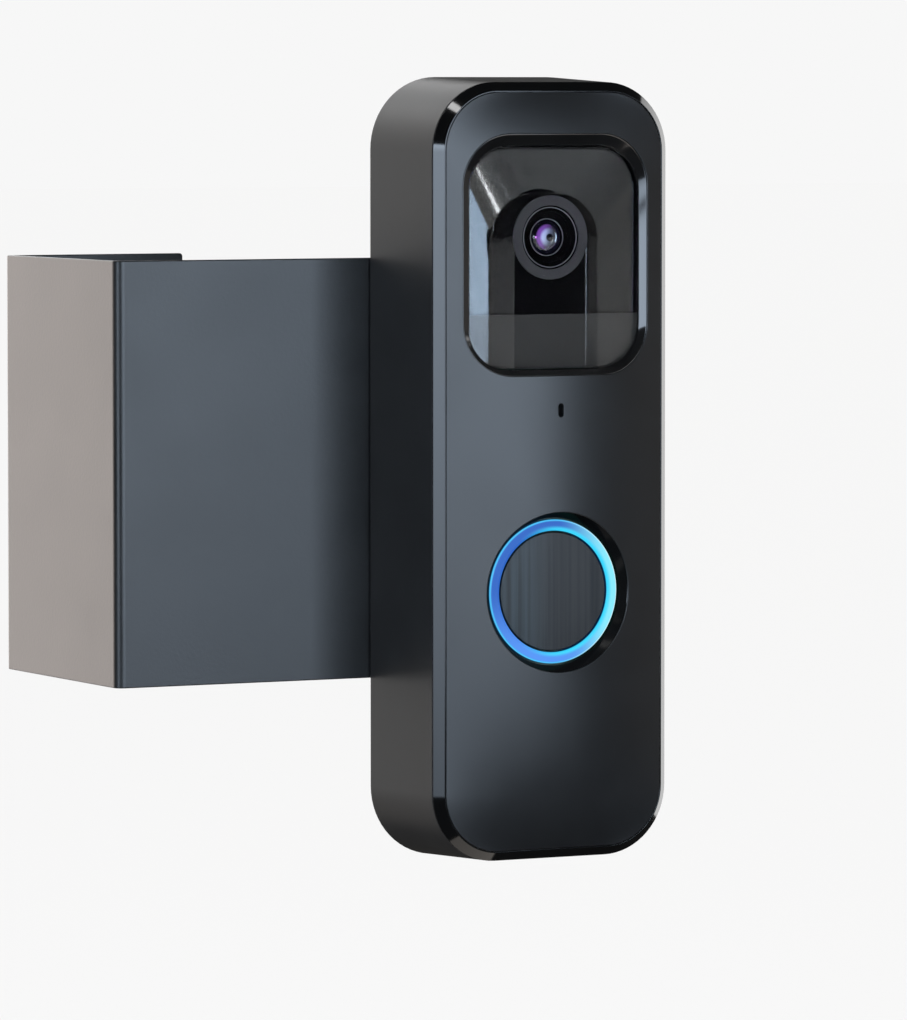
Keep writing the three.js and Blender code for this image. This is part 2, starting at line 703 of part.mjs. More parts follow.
const lightBoardProfile = [
  [RING_INNER_RADIUS, lightBoardBackY],
  [13, lightBoardBackY],
  [13, lightBoardFrontY],
  [RING_INNER_RADIUS, lightBoardFrontY],
  [RING_INNER_RADIUS, lightBoardBackY],
];
piece("light_board", turned(lightBoardProfile, 0, BUTTON_Z, ROUND), circuit);
const capProfile = [
  [0, -23.9],
  [2.4, -23.9],
  [2.4, CAP_SKIRT_Y],
  [8.6, CAP_SKIRT_Y],
  [8.6, -23],
  [9.5, -23],
  [9.5, CAP_SKIRT_Y],
  [CAP_RADIUS, CAP_SKIRT_Y],
  [CAP_RADIUS, CAP_Y + CAP_EDGE],
  [CAP_RADIUS - CAP_EDGE, CAP_Y],
  [0, CAP_Y],
];
piece("button_cap", turned(capProfile, 0, BUTTON_Z, BUTTON_SIDES), capGrey);
const switchFront = -23.3;
const plungerRadius = 1.2;
piece(
  "switch_body",
  built(block(-3, 3, switchFront, MAIN_BOARD_FRONT_Y - 0.05, BUTTON_Z - 3, BUTTON_Z + 3), {
    cut: [rod(plungerRadius + RUNNING_GAP, MAIN_BOARD_FRONT_Y + 1, switchFront - 1, 0, BUTTON_Z)],
  }),
  steel,
);
piece("switch_plunger", rod(plungerRadius, -22.8, -23.85, 0, BUTTON_Z), plastic);

// ---- electronics in the body ----
piece(
  "main_board",
  block(-16.5, 16.5, MAIN_BOARD_FRONT_Y, MAIN_BOARD_FRONT_Y + BOARD, -50, 14),
  circuit,
);
piece("microphone", block(-1.9, 1.9, -23.4, MAIN_BOARD_FRONT_Y - 0.05, MIC_Z - 1.5, MIC_Z + 1.5), steel);
const bootProfile = [[0.8, -23.45], [2.2, -23.45], [2.2, -24.2], [0.8, -24.2], [0.8, -23.45]];
piece("microphone_boot", turned(bootProfile, 0, MIC_Z, SMALL_ROUND), rubber);
piece("flex_cable", block(4, 12, -21.2, CAMERA_BOARD_FRONT_Y - GAP, 12.4, 12.7), copper);
piece(
  "speaker",
  built(prism(roundedOutline({ width: 22, height: 5.6, corner: 1.5, z: -57.5 }), -9.5, -18.5), {
    cut: [block(-8, 8, -17, -11, -62, -59.7)],
  }),
  plastic,
);

// ---- battery bay ----
const trayHalf = 16.2;
const trayWall = 0.8;
const trayBottom = -53.6;
const trayTop = 5;
piece(
  "battery_tray",
  built(block(-trayHalf, trayHalf, -21.2, -6.4, trayBottom, trayTop), {
    cut: [
      block(trayWall - trayHalf, trayHalf - trayWall, -20.5, 0, trayBottom + trayWall, trayTop - trayWall),
    ],
  }),
  plastic,
);
for (const [name, side] of [["battery_left", -1], ["battery_right", 1]]) {
  const low = CELL_BOTTOM_Z;
  const high = CELL_BOTTOM_Z + CELL_LENGTH;
  const shoulder = CELL_LENGTH - 1.2;
  const nubRadius = 2.7;
  const edge = 0.3;
  const profile = [
    [0, 0],
    [CELL_RADIUS - edge, 0],
    [CELL_RADIUS, edge],
    [CELL_RADIUS, shoulder - edge],
    [CELL_RADIUS - edge, shoulder],
    [nubRadius, shoulder],
    [nubRadius, CELL_LENGTH],
    [0, CELL_LENGTH],
  ];
  const points = profile.map(([r, h]) => new THREE.Vector2(r, h));
  const shape = new THREE.LatheGeometry(points, 28).rotateX(Math.PI / 2);
  if (side > 0) shape.rotateX(Math.PI);
  piece(name, shape.translate(side * CELL_X, CELL_Y, side > 0 ? high : low), cell);
}
piece("contact_bridge", block(-13.5, 13.5, -19, -7.6, 1.4, 1.8), copper);

// A coil of spring wire that narrows towards the cell.
class ConeCoil extends THREE.Curve {
  constructor(x, bottom, height, turns) {
    super();
    Object.assign(this, { x, bottom, height, turns });
  }
  getPoint(t, target = new THREE.Vector3()) {
    const angle = 2 * Math.PI * this.turns * t;
    const radius = 4.6 - 2 * t;
    return target.set(
      this.x + radius * Math.cos(angle),
      CELL_Y + radius * Math.sin(angle),
      this.bottom + this.height * t,
    );
  }
}
const wireSection = new THREE.Shape(roundedOutline({ width: 0.6, height: 0.6, corner: 0.299 }, 2));
for (const [name, side] of [["contact_spring_left", -1], ["contact_spring_right", 1]]) {
  piece(
    name,
    new THREE.ExtrudeGeometry(wireSection, {
      steps: 34,
      extrudePath: new ConeCoil(side * CELL_X, trayBottom + 1.3, 2.2, 2.5),
      bevelEnabled: false,
    }),
    copper,
  );
}

// ---- back of the unit ----
const behindCover = BACK_COVER.back + THROUGH;
const latchNotch = [-5, 5, -8, behindCover, -64, -58.5];
const backOutline = grown(BODY_BACK, -WALL - 0.3);
const gasketOutline = grown(backOutline, -0.3);
piece(
  "back_cover",
  built(prism(roundedOutline(backOutline), BACK_COVER.back, BACK_COVER.front), {
    join: [
      ...bosses.map(([x, z]) => rod(2.7, -5.2, -7.4, x, z)),
      prism(roundedOutline(grown(TERMINAL_POCKET, 1)), BACK_COVER.back, -8),
    ],
    cut: [
      ...bosses.map(([x, z]) => rod(boreRadius, behindCover, -8, x, z, 12)),
      ...bosses.map(([x, z]) => rod(2.1, behindCover, -5.75, x, z)),
      prism(roundedOutline(TERMINAL_POCKET), behindCover, -7.2),
      ...BOTH_SIDES.map((side) => rod(1.3, -6, -9, side * TERMINAL.x, TERMINAL.z, 12)),
      rod(SYNC_RADIUS + 0.3, behindCover, -7, 0, SYNC_Z),
      block(...latchNotch),
    ],
  }),
  plastic,
);
piece(
  "back_gasket",
  built(prism(roundedOutline(gasketOutline), -5.95, -6.35), {
    cut: [prism(roundedOutline(grown(gasketOutline, -0.8)), behindCover, -7), block(...latchNotch)],
  }),
  rubber,
);
const terminalProfile = [[0, -5.5], [2.2, -5.5], [3, -6], [3, -7.1], [1.1, -7.1], [1.1, -8.9], [0, -8.9]];
for (const [name, side] of [["terminal_screw_left", -1], ["terminal_screw_right", 1]]) {
  const x = side * TERMINAL.x;
  const slot = block(x - 4, x + 4, -6.1, -5, TERMINAL.z - 0.4, TERMINAL.z + 0.4);
  piece(name, built(turned(terminalProfile, x, TERMINAL.z, 20), { cut: [slot] }), copper);
}
piece("sync_button", rod(SYNC_RADIUS, -4.7, -6.5, 0, SYNC_Z), rubber);
piece("sync_switch", block(-2.5, 2.5, -9.5, -7, SYNC_Z - 2.5, SYNC_Z + 2.5), steel);

export default group;
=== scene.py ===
# %% [markdown]
# # A battery video doorbell on a clamp-on door bracket
#
# The doorbell is a tall black block with a crowned satin face. A camera looks out through a
# window in its upper half, and a round push button with a lit ring sits in its lower half.
# It hangs on a strip of bent, painted steel that wraps round the edge of a door.
#
# The engineering model comes in first as named pieces that already move. This lesson gives
# them their finishes, and rebuilds the outer pieces as smooth surfaces worked out with numpy.

# %% Bring in the engineering model
import json
import math

import bpy
import numpy as np
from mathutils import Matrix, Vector
from mathutils.geometry import delaunay_2d_cdt


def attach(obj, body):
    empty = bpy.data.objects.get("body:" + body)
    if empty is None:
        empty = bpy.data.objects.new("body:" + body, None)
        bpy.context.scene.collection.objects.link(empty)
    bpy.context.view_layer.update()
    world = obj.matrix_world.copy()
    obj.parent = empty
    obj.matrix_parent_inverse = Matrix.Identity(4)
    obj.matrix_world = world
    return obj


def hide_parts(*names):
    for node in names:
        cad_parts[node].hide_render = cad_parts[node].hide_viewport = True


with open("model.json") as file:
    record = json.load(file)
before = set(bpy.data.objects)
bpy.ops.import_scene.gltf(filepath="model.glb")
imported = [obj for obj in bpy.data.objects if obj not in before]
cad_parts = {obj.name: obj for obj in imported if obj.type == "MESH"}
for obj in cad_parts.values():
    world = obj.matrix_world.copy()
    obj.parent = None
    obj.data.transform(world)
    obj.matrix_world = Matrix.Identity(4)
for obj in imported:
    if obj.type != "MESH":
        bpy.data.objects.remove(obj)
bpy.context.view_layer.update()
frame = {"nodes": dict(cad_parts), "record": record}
nodes = frame["nodes"]
MM = 0.001

# %% [markdown]
# ## Camera
#
# The doorbell is looked at from its left, a little above its middle, through a long lens from
# over a metre away. A long lens keeps the upright edges nearly parallel, as in a catalogue
# picture. The camera is placed in the same frame as the model, so nothing has to be moved.

# %% Place the camera
camera = bpy.data.objects.new("camera", bpy.data.cameras.new("camera"))
bpy.context.scene.collection.objects.link(camera)
LOOKS_DOWN, LOOKS_RIGHT = 3.485, 27.53  # degrees
camera.location = Vector((-541.57, -1028.61, 63.06)) * MM
camera.rotation_euler = (math.radians(90 - LOOKS_DOWN), 0, math.radians(-LOOKS_RIGHT))
camera.data.lens = 244.2
camera.data.sensor_width = 36
camera.data.clip_start, camera.data.clip_end = 0.05, 200
bpy.context.scene.camera = camera
print("camera is", round(camera.location.length, 3), "m from the middle of the door face")

# %% [markdown]
# ## Shader maths
#
# A finish is a small sum: a base value plus a little noise. Writing it as nodes by hand hides
# the sum, so one class wraps a node's output and lets Python's own signs add the Math nodes.
# The studio's cards are made with it too.

# %% A class for sums in a finish


class Wire:
    """An output socket that can stand in a sum. Each sign adds one Math node."""

    def __init__(self, finish, socket):
        self.finish, self.socket = finish, socket

    def work(self, operation, first, second=0.0):
        return self.finish.node("ShaderNodeMath", {"operation": operation}, {0: first, 1: second})

    def __add__(self, other):
        return self.work("ADD", self, other)

    def __sub__(self, other):
        return self.work("SUBTRACT", self, other)

    def __rsub__(self, other):
        return self.work("SUBTRACT", other, self)

    def __mul__(self, other):
        return self.work("MULTIPLY", self, other)

    def __truediv__(self, other):
        return self.work("DIVIDE", self, other)

    def __pow__(self, other):
        return self.work("POWER", self, other)

    def within(self, low, high):
        """This value's place between low and high, eased, from 0 to 1."""
        return self.finish.node(
            "ShaderNodeMapRange", {"interpolation_type": "SMOOTHSTEP"},
            {"Value": self, "From Min": low, "From Max": high})

    __radd__ = __add__
    __rmul__ = __mul__


class Finish:
    """A material whose nodes are added by one method."""

    def __init__(self, name):
        self.material = bpy.data.materials.new(name)
        self.material.use_nodes = True
        self.tree = self.material.node_tree
        self.tree.nodes.clear()

    def node(self, kind, settings=None, inputs=None, out=0):
        """Adds a node. Settings go in first, then a value or a wire into each named socket."""
        made = self.tree.nodes.new(kind)
        for key, value in (settings or {}).items():
            setattr(made, key, value)
        for key, value in (inputs or {}).items():
            if isinstance(value, Wire):
                self.tree.links.new(value.socket, made.inputs[key])
            else:
                made.inputs[key].default_value = value
        return Wire(self, made.outputs[out]) if len(made.outputs) else made

    def place(self, axis=None):
        """The position on the piece in metres, or one of its three coordinates."""
        where = self.node("ShaderNodeTexCoord", out="Object")
        if axis is None:
            return where
        return self.node("ShaderNodeSeparateXYZ", {}, {0: where}, out=axis)

    def noise(self, per_mm, detail=2.0, stretch=(1, 1, 1)):
        """Soft noise from 0 to 1, with about per_mm features in a millimetre."""
        scale = tuple(s * per_mm / MM for s in stretch)
        spread = self.node("ShaderNodeMapping", {}, {"Vector": self.place(), "Scale": scale})
        return self.node("ShaderNodeTexNoise", {},
                         {"Vector": spread, "Scale": 1.0, "Detail": detail})

    def mix(self, share, first, second):
        """A colour that goes from the first to the second as share goes from 0 to 1."""
        return self.node("ShaderNodeMix", {"data_type": "RGBA"},
                         {0: share, 6: (*first, 1) if isinstance(first, tuple) else first,
                          7: (*second, 1) if isinstance(second, tuple) else second}, out=2)

    def bump(self, height, depth):
        """A normal from a height of 0 to 1 that stands for depth, in millimetres."""
        return self.node("ShaderNodeBump", {},
                         {"Height": height, "Strength": 1.0, "Distance": depth * MM})

    def surface(self, inputs):
        """The finished material, from the values and wires of one Principled node."""
        return self.shown(self.node("ShaderNodeBsdfPrincipled", {}, inputs))

    def shown(self, shader):
        self.node("ShaderNodeOutputMaterial", {}, {"Surface": shader})
        return self.material


# %% [markdown]
# ## Studio
#
# A glossy black object shows almost nothing but reflections, so its light is built from a few
# plain cards at known directions, as a photographer would set softboxes and black flags. Each
# card is a glowing rectangle that the camera itself doesn't see. Directions are given as an
# angle round from the doorbell's front, positive to its right, and a height above the horizon.
# Some cards light only a few pieces, which are kept in a collection of their own. The
# surroundings are dark for reflections and pale for the camera, and a pale floor lies well
# below.


def towards(azimuth, elevation):
    """The unit direction at an azimuth from straight in front and an elevation, in degrees."""
    a, e = math.radians(azimuth), math.radians(elevation)
    return Vector((math.sin(a) * math.cos(e), -math.cos(a) * math.cos(e), math.sin(e)))


def card(name, azimuth, elevation, size, strength, colour, distance=1.5, only=None, foot=1.0):
    """A glowing rectangle that faces the doorbell.

    Its size is the pair of angles it fills, in degrees, seen from the middle of the doorbell.
    Foot is how bright its lower edge is beside its upper edge, as a share. A card is clear as
    well as bright, so it doesn't hide the cards that stand behind it.
    """
    half = [distance * math.tan(math.radians(angle / 2)) for angle in size]
    out = towards(azimuth, elevation)
    side = Vector((0, 0, 1)).cross(out).normalized()
    rise = out.cross(side)
    corners = [out * distance + side * half[0] * sx + rise * half[1] * sz
               for sx, sz in ((-1, -1), (-1, 1), (1, 1), (1, -1))]
    mesh = bpy.data.meshes.new(name)
    mesh.from_pydata([tuple(c) for c in corners], [], [(0, 1, 2, 3)])
    glow = Finish(name)
    if foot != 1:
        heights = sorted(c.z for c in corners)
        strength = glow.node("ShaderNodeMapRange", {}, {
            "Value": glow.place("Z"), "From Min": heights[0], "From Max": heights[-1],
            "To Min": strength * foot, "To Max": strength})
    light = glow.node("ShaderNodeEmission", {}, {"Color": (*colour, 1), "Strength": strength})
    clear = glow.node("ShaderNodeBsdfTransparent")
    both = glow.node("ShaderNodeAddShader", {}, {0: light, 1: clear})
    mesh.materials.append(glow.shown(both))
    made = bpy.data.objects.new(name, mesh)
    bpy.context.scene.collection.objects.link(made)
    made.visible_camera = False
    made.visible_shadow = False
    if only is not None:
        made.light_linking.receiver_collection = only
    return made


bracket_only, floor_only, hood_only, frame_only, lens_only = (
    bpy.data.collections.new("lit by the " + light) for light in
    ("bracket card", "floor lamp", "hood cards", "frame cards", "lens cards"))

COOL = (0.84, 1.0, 1.2)
WARM = (1.08, 1.0, 0.92)
WHITE = (1, 1, 1)
front_softbox = card("front softbox", 6, 1.5, (43, 16), 9.3, COOL, foot=0.45)
card("left softbox", -63, 0, (22, 20), 9.0, COOL, foot=0.12)
key_lamp = card("key lamp", -49, 56, (8, 8), 12, WHITE)
card("dim right card", 62, 15, (40, 50), 0.32, WARM)
card("lower card", 0, -86, (44, 44), 1.1, WARM, distance=0.8)
card("back left wash", -150, 0, (50, 60), 0.36, WARM)
card("bracket wash", -152, 0, (44, 50), 2.0, (1.1, 0.98, 0.92), only=bracket_only)
card("hood strip", 70, -2, (12, 30), 6.4, (0.75, 1.0, 1.3), only=hood_only)
card("hood flash", 50, -15, (3.5, 9), 110, WHITE, only=hood_only)
card("hood glimmer", 44.5, -20, (4, 8), 7, (0.95, 1.0, 1.05), only=hood_only)
card("hood right wash", -13, -3, (16, 30), 0.4, (1.05, 1.0, 0.9), only=hood_only)
card("hood front floor", 31, -36, (30, 28), 0.22, (0.9, 1.0, 1.02), only=hood_only)
card("frame strip", -24, -1, (14, 14), 8.0, COOL, only=frame_only)
card("under lip wash", 24, -24, (24, 22), 3.0, WARM, only=frame_only)
card("over lip wash", 27, 40, (36, 50), 5.0, WHITE, only=frame_only)
card("lens violet", -46, 0, (8, 8), 26, (0.85, 0.3, 1.0), only=lens_only)
card("lens glint", 2, 8, (6, 6), 40, (0.85, 0.95, 1.1), only=lens_only)
card("lens blue", 92, -8, (20, 14), 14, (0.1, 0.2, 1.0), only=lens_only)
card("right softbox", 107, 5, (44, 50), 2.2, WHITE)
card("back softbox", 178, 12, (40, 44), 2.4, WHITE)

# %% [markdown]
# The floor is a large pale sheet far below, so that it doesn't colour the black gloss. One
# lamp straight above lights it evenly, and lights nothing else.

# %% Floor and surroundings
PALE = 0.93  # the brightness of the surroundings and of the lit floor
FLOOR_COLOUR = 0.8
FLOOR_REACH, FLOOR_Z = 60, -0.9  # metres
CARD_SPILL = 0.025  # the share of the floor's light that comes from the cards
floor_mesh = bpy.data.meshes.new("floor")
floor_mesh.from_pydata(
    [(sx * FLOOR_REACH, sy * FLOOR_REACH, FLOOR_Z)
     for sx, sy in ((-1, -1), (1, -1), (1, 1), (-1, 1))], [], [(0, 1, 2, 3)])
floor_mesh.materials.append(Finish("floor").surface({
    "Base Color": (FLOOR_COLOUR, FLOOR_COLOUR, FLOOR_COLOUR, 1), "Roughness": 0.9,
    "Specular IOR Level": 0}))
floor = bpy.data.objects.new("floor", floor_mesh)
bpy.context.scene.collection.objects.link(floor)
floor_only.objects.link(floor)
floor.visible_glossy = False
floor.visible_diffuse = False

lamp = bpy.data.objects.new("floor lamp", bpy.data.lights.new("floor lamp", "SUN"))
bpy.context.scene.collection.objects.link(lamp)
lamp.data.energy = PALE * (1 - CARD_SPILL) / FLOOR_COLOUR * math.pi
lamp.data.angle = math.radians(20)
lamp.light_linking.receiver_collection = floor_only

world = bpy.data.worlds.new("studio")
bpy.context.scene.world = world
world.use_nodes = True
tree = world.node_tree
tree.nodes.clear()
pale = tree.nodes.new("ShaderNodeBackground")
pale.inputs["Color"].default_value = (PALE, PALE, PALE, 1)
dim = tree.nodes.new("ShaderNodeBackground")
dim.inputs["Color"].default_value = (0.024, 0.023, 0.022, 1)  # what the gloss reflects
path = tree.nodes.new("ShaderNodeLightPath")
choose = tree.nodes.new("ShaderNodeMixShader")
output = tree.nodes.new("ShaderNodeOutputWorld")
tree.links.new(path.outputs["Is Camera Ray"], choose.inputs["Fac"])
tree.links.new(dim.outputs[0], choose.inputs[1])
tree.links.new(pale.outputs[0], choose.inputs[2])
tree.links.new(choose.outputs[0], output.inputs["Surface"])
bpy.context.scene.view_settings.view_transform = "Standard"

# %% [markdown]
# ## Finishes
#
# Most of the pieces are moulded black plastic. The face and the sides have a fine spark-eroded
# grain that blurs reflections; the chamfer, the window frame and the hood are polished. Both
# are the same recipe: a dark colour that drifts a little, a roughness that drifts a little, and
# a bump of the right grain. Steel, copper and rubber use it too, with other numbers.

# %% One recipe for solid finishes


def moulded(name, dark, light, roughness, grain=0.0, grain_per_mm=6.0, drift=0.04,
            metallic=0.0, specular=0.5, coat=0.0):
    """A solid finish.

    The colour goes between dark and light with slow noise, the roughness goes up and down by
    drift with the same noise, and grain is the depth of the fine bump in millimetres.
    """
    finish = Finish(name)
    slow = finish.noise(0.08, detail=3.0)
    inputs = {
        "Base Color": finish.mix(slow.within(0.3, 0.7), dark, light),
        "Roughness": slow * (2 * drift) + (roughness - drift),
        "Metallic": metallic,
        "Specular IOR Level": specular,
        "Coat Weight": coat,
        "Coat Roughness": 0.05,
    }
    if grain:
        fine = finish.noise(grain_per_mm, detail=1.0)
        inputs["Normal"] = finish.bump(fine, grain)
    return finish.surface(inputs)


FINISHES = {
    "face_satin": ((0.012, 0.012, 0.0125), (0.015, 0.015, 0.0155), 0.31, 0.003),
    "shell_satin": ((0.037, 0.037, 0.038), (0.045, 0.045, 0.046), 0.42, 0.004),
    "trim_gloss": ((0.004, 0.004, 0.0042), (0.006, 0.006, 0.0062), 0.09, {"drift": 0.015}),
    "post_black": ((0.0035, 0.0035, 0.0037), (0.005, 0.005, 0.0052), 0.3, {"specular": 0.0}),
    # painted highlight: a lighter grey than the black barrel, for the barrel's two edges catching
    # the light
    "edge_line": ((0.1, 0.1, 0.108), (0.14, 0.14, 0.15), 0.35, 0.001, {"metallic": 0.3}),
    "hood_gloss": ((0.004, 0.004, 0.0042), (0.006, 0.006, 0.0062), 0.075, {"drift": 0.02}),
    "bracket_paint": ((0.016, 0.017, 0.018), (0.022, 0.023, 0.024), 0.36, 0.012, 1.6,
                      {"specular": 0.62}),
    "foam_pad": ((0.012, 0.012, 0.012), (0.03, 0.03, 0.03), 0.9, 0.12, 2.5, {"specular": 0.2}),
    "lens_ring_grey": ((0.036, 0.037, 0.038), (0.046, 0.047, 0.048), 0.42, 0.002,
                       {"specular": 0.12}),
    "inner_plastic": ((0.018, 0.018, 0.019), (0.028, 0.028, 0.029), 0.5, 0.006),
    "silicone": ((0.02, 0.02, 0.02), (0.03, 0.03, 0.03), 0.65, 0.004),
    "screw_steel": ((0.52, 0.53, 0.55), (0.62, 0.63, 0.65), 0.28, 0.002, {"metallic": 1.0}),
    "contact_copper": ((0.72, 0.5, 0.24), (0.84, 0.62, 0.34), 0.3, 0.002, {"metallic": 1.0}),
    "circuit_board": ((0.008, 0.05, 0.028), (0.015, 0.075, 0.042), 0.4, 0.01, 1.0),
    "sensor_glass": ((0.01, 0.012, 0.03), (0.02, 0.02, 0.05), 0.06, {"coat": 1.0}),
    "cell_wrap": ((0.25, 0.26, 0.28), (0.33, 0.34, 0.36), 0.3, {"metallic": 0.5}),
}
finishes = {}
for name, numbers in FINISHES.items():
    more = numbers[-1] if isinstance(numbers[-1], dict) else {}
    plain = numbers[:-1] if more else numbers
    finishes[name] = moulded(name.replace("_", " "), *plain, **more)
print(len(finishes), "solid finishes")

# %% [markdown]
# The button's cap is brushed upright, so its streaks run up and down. The noise for them is
# squeezed to fine lines across and stretched to long ones upwards.

# %% Brushed cap


def brushed_cap():
    """Satin plastic with upright streaks, and painted light: cooler and lighter on the left, where
    the cool light falls.
    """
    finish = Finish("button satin")
    fine = finish.noise(1.6, detail=2.0, stretch=(1, 1, 0.012))
    broad = finish.noise(0.22, detail=1.0, stretch=(1, 1, 0.05))
    # painted light: the left of the cap gets a cooler, lighter colour for the cool light falling
    # from that side
    side = (finish.place("X") / MM).within(-8, 1)
    sidelit_tone = finish.mix(side, (0.066, 0.089, 0.1), (0.045, 0.044, 0.044))
    streaked = finish.mix((fine * 0.5 + broad * 0.5).within(0.3, 0.62), (0.014, 0.016, 0.018), sidelit_tone)
    return finish.surface({
        "Base Color": streaked, "Roughness": fine * 0.12 + 0.26, "Specular IOR Level": 0.3,
        "Normal": finish.bump(fine, 0.002)})


finishes["button_satin"] = brushed_cap()

# %% [markdown]
# ## Glass
#
# The window is one thin pane whose lower quarter carries a smoked film in front of the motion
# sensor. Glass in a render usually throws a full shadow on what is behind it, so lamp rays are
# let straight through, and only sight rays meet the glass. The pane bends light hardly at all,
# so that what is behind it stays where it is.

# %% Recipes for glass


def glazed(name, tint, haze=None, share=0.0, specular=0.5):
    """Clear glass of a tint. Haze is a colour laid over it, as strongly as share says."""
    finish = Finish(name)
    slow = finish.noise(0.05)
    pane = finish.node("ShaderNodeBsdfPrincipled", {}, {
        "Base Color": finish.mix(slow, tint, tuple(v * 0.97 for v in tint)),
        "Roughness": 0.0, "IOR": 1.03, "Transmission Weight": 1.0,
        "Specular IOR Level": specular})
    if haze is not None:
        film = finish.node("ShaderNodeBsdfPrincipled", {}, {
            "Base Color": finish.mix(slow, haze, tuple(v * 0.93 for v in haze)),
            "Roughness": 0.6, "Specular IOR Level": 0.0})
        pane = finish.node("ShaderNodeMixShader", {}, {0: share, 1: pane, 2: film})
    lamps = finish.node("ShaderNodeLightPath", out="Is Shadow Ray")
    clear = finish.node("ShaderNodeBsdfTransparent", {}, {"Color": (*tint, 1)})
    return finish.shown(finish.node("ShaderNodeMixShader", {}, {0: lamps, 1: pane, 2: clear}))


finishes["window_glass"] = glazed("window glass", (0.93, 0.95, 0.96))
finishes["motion_film"] = glazed("motion film", (0.95, 0.95, 0.95), haze=(0.235, 0.235, 0.23),
                                 share=0.12, specular=0.0)

# %% [markdown]
# The lens looks nearly black, because what is behind it is black. What shows on it here is painted:
# highlights and reflections of its coating, pale blue-grey round a painted dark pupil, then violet,
# then painted black out to the rim. The painted highlights are brightest towards the upper left,
# where the lamps on the left fall. So the lens is a dark polished solid, with these painted tints
# in rings round its axis.

# %% Recipe for the lens and its painted highlights
LENS_Z = 38.6


def lens_with_painted_glints():
    """Dark polished glass with painted highlights and painted reflections of its coating in rings,
    round a painted dark pupil.
    """
    finish = Finish("lens glass")
    x = finish.place("X") / MM
    z = finish.place("Z") / MM - LENS_Z
    radius = (x * x + z * z) ** 0.5
    # painted highlight: the glint and the violet reflection grow lighter towards the upper left,
    # where the lamps on the left fall
    left = (x + finish.noise(1.2) * 0.4 - z * 0.35).within(0.8, -1.6)
    painted_iris_glint = finish.mix(left, (0.02, 0.024, 0.034), (0.36, 0.44, 0.58))
    violet = finish.mix(left, (0.01, 0.007, 0.018), (0.15, 0.05, 0.24))
    tint = finish.mix(radius.within(1.1, 1.75), painted_iris_glint, violet)
    # painted shade: a dark pupil in the middle and black out to the rim, for the dark inside seen
    # through the glass
    tint = finish.mix(radius.within(0.75, 0.5), tint, (0.002, 0.002, 0.004))
    tint = finish.mix(radius.within(1.9, 2.3), tint, (0.003, 0.003, 0.006))
    return finish.surface({"Base Color": tint, "Roughness": 0.05, "Specular IOR Level": 0.7})


finishes["lens_glass"] = lens_with_painted_glints()

# %% [markdown]
# ## The lit ring
#
# The ring is a milky moulding with small lamps behind it. Its light is not even: it is a
# deeper blue on the left and nearly cyan on the right, and its two edges glow more than its
# crest. The colour is worked out from where a point is round the button, and how far out.

# %% Recipe for the lit ring
BUTTON_Z = -19.85
RING_INNER, RING_OUTER = 10.0, 12.0
RING_FRONT = 25.35  # how far forward the crest of the ring stands


def lit_ring():
    """A glow that goes from deep blue on the left to cyan on the right, with brighter edges, and
    painted shade in a thin dark band at each edge.
    """
    finish = Finish("light diffuser")
    x = finish.place("X")
    z = finish.place("Z") - BUTTON_Z * MM
    radius = (x * x + z * z) ** 0.5 / MM
    across, up = x / (RING_OUTER * MM), z / (RING_OUTER * MM)
    right = across.within(0.05, 0.9)
    body = finish.mix(right, (0.022, 0.122, 0.53), (0.24, 0.82, 0.97))
    low = up.within(0.1, -0.9)
    body = finish.mix(low * (1 - right) * 0.8, body, (0.1, 0.33, 0.98))
    inner_glow = radius.within(RING_INNER + 1.0, RING_INNER + 0.3) * across.within(-0.6, 0.2)
    body = finish.mix(inner_glow, body, (0.04, 0.68, 0.98))
    rim = radius.within(RING_OUTER - 0.42, RING_OUTER - 0.22)
    edge = finish.mix(right, (0.08, 0.55, 0.95), (0.6, 0.93, 1.0))
    # painted shade: a thin dark band on the outer edge, for the shade in the gap between the ring
    # and the recess
    outer_gap_shade = radius.within(RING_OUTER - 0.14, RING_OUTER - 0.03)
    colour = finish.mix(outer_gap_shade, finish.mix(rim, body, edge), (0.0, 0.008, 0.03))
    # painted shade: a thin dark band on the inner edge, for the shade in the gap beside the cap
    inner_gap_shade = radius.within(RING_INNER + 0.14, RING_INNER + 0.02)
    colour = finish.mix(inner_gap_shade, colour, (0.0, 0.01, 0.04))
    return finish.surface({
        "Base Color": (0.01, 0.02, 0.05, 1), "Roughness": 0.3, "Specular IOR Level": 0.2,
        "Emission Color": colour, "Emission Strength": 1.0})


finishes["light_diffuser"] = lit_ring()

# %% [markdown]
# ## Surfaces from numpy
#
# Nearly every outer piece is one of two things: a profile carried round an outline, or a flat
# blank with holes that is then pushed to a depth. Both give each point its exact normal, so a
# small rounded edge shades like a real one without a dense mesh. Points that fall on the same
# place are welded at the end, which closes every seam.

# %% Helpers: outlines and profiles
FRONT = np.array([0.0, -1.0, 0.0])
ARC_STEPS = 5  # how many straight steps stand for a small rounded edge


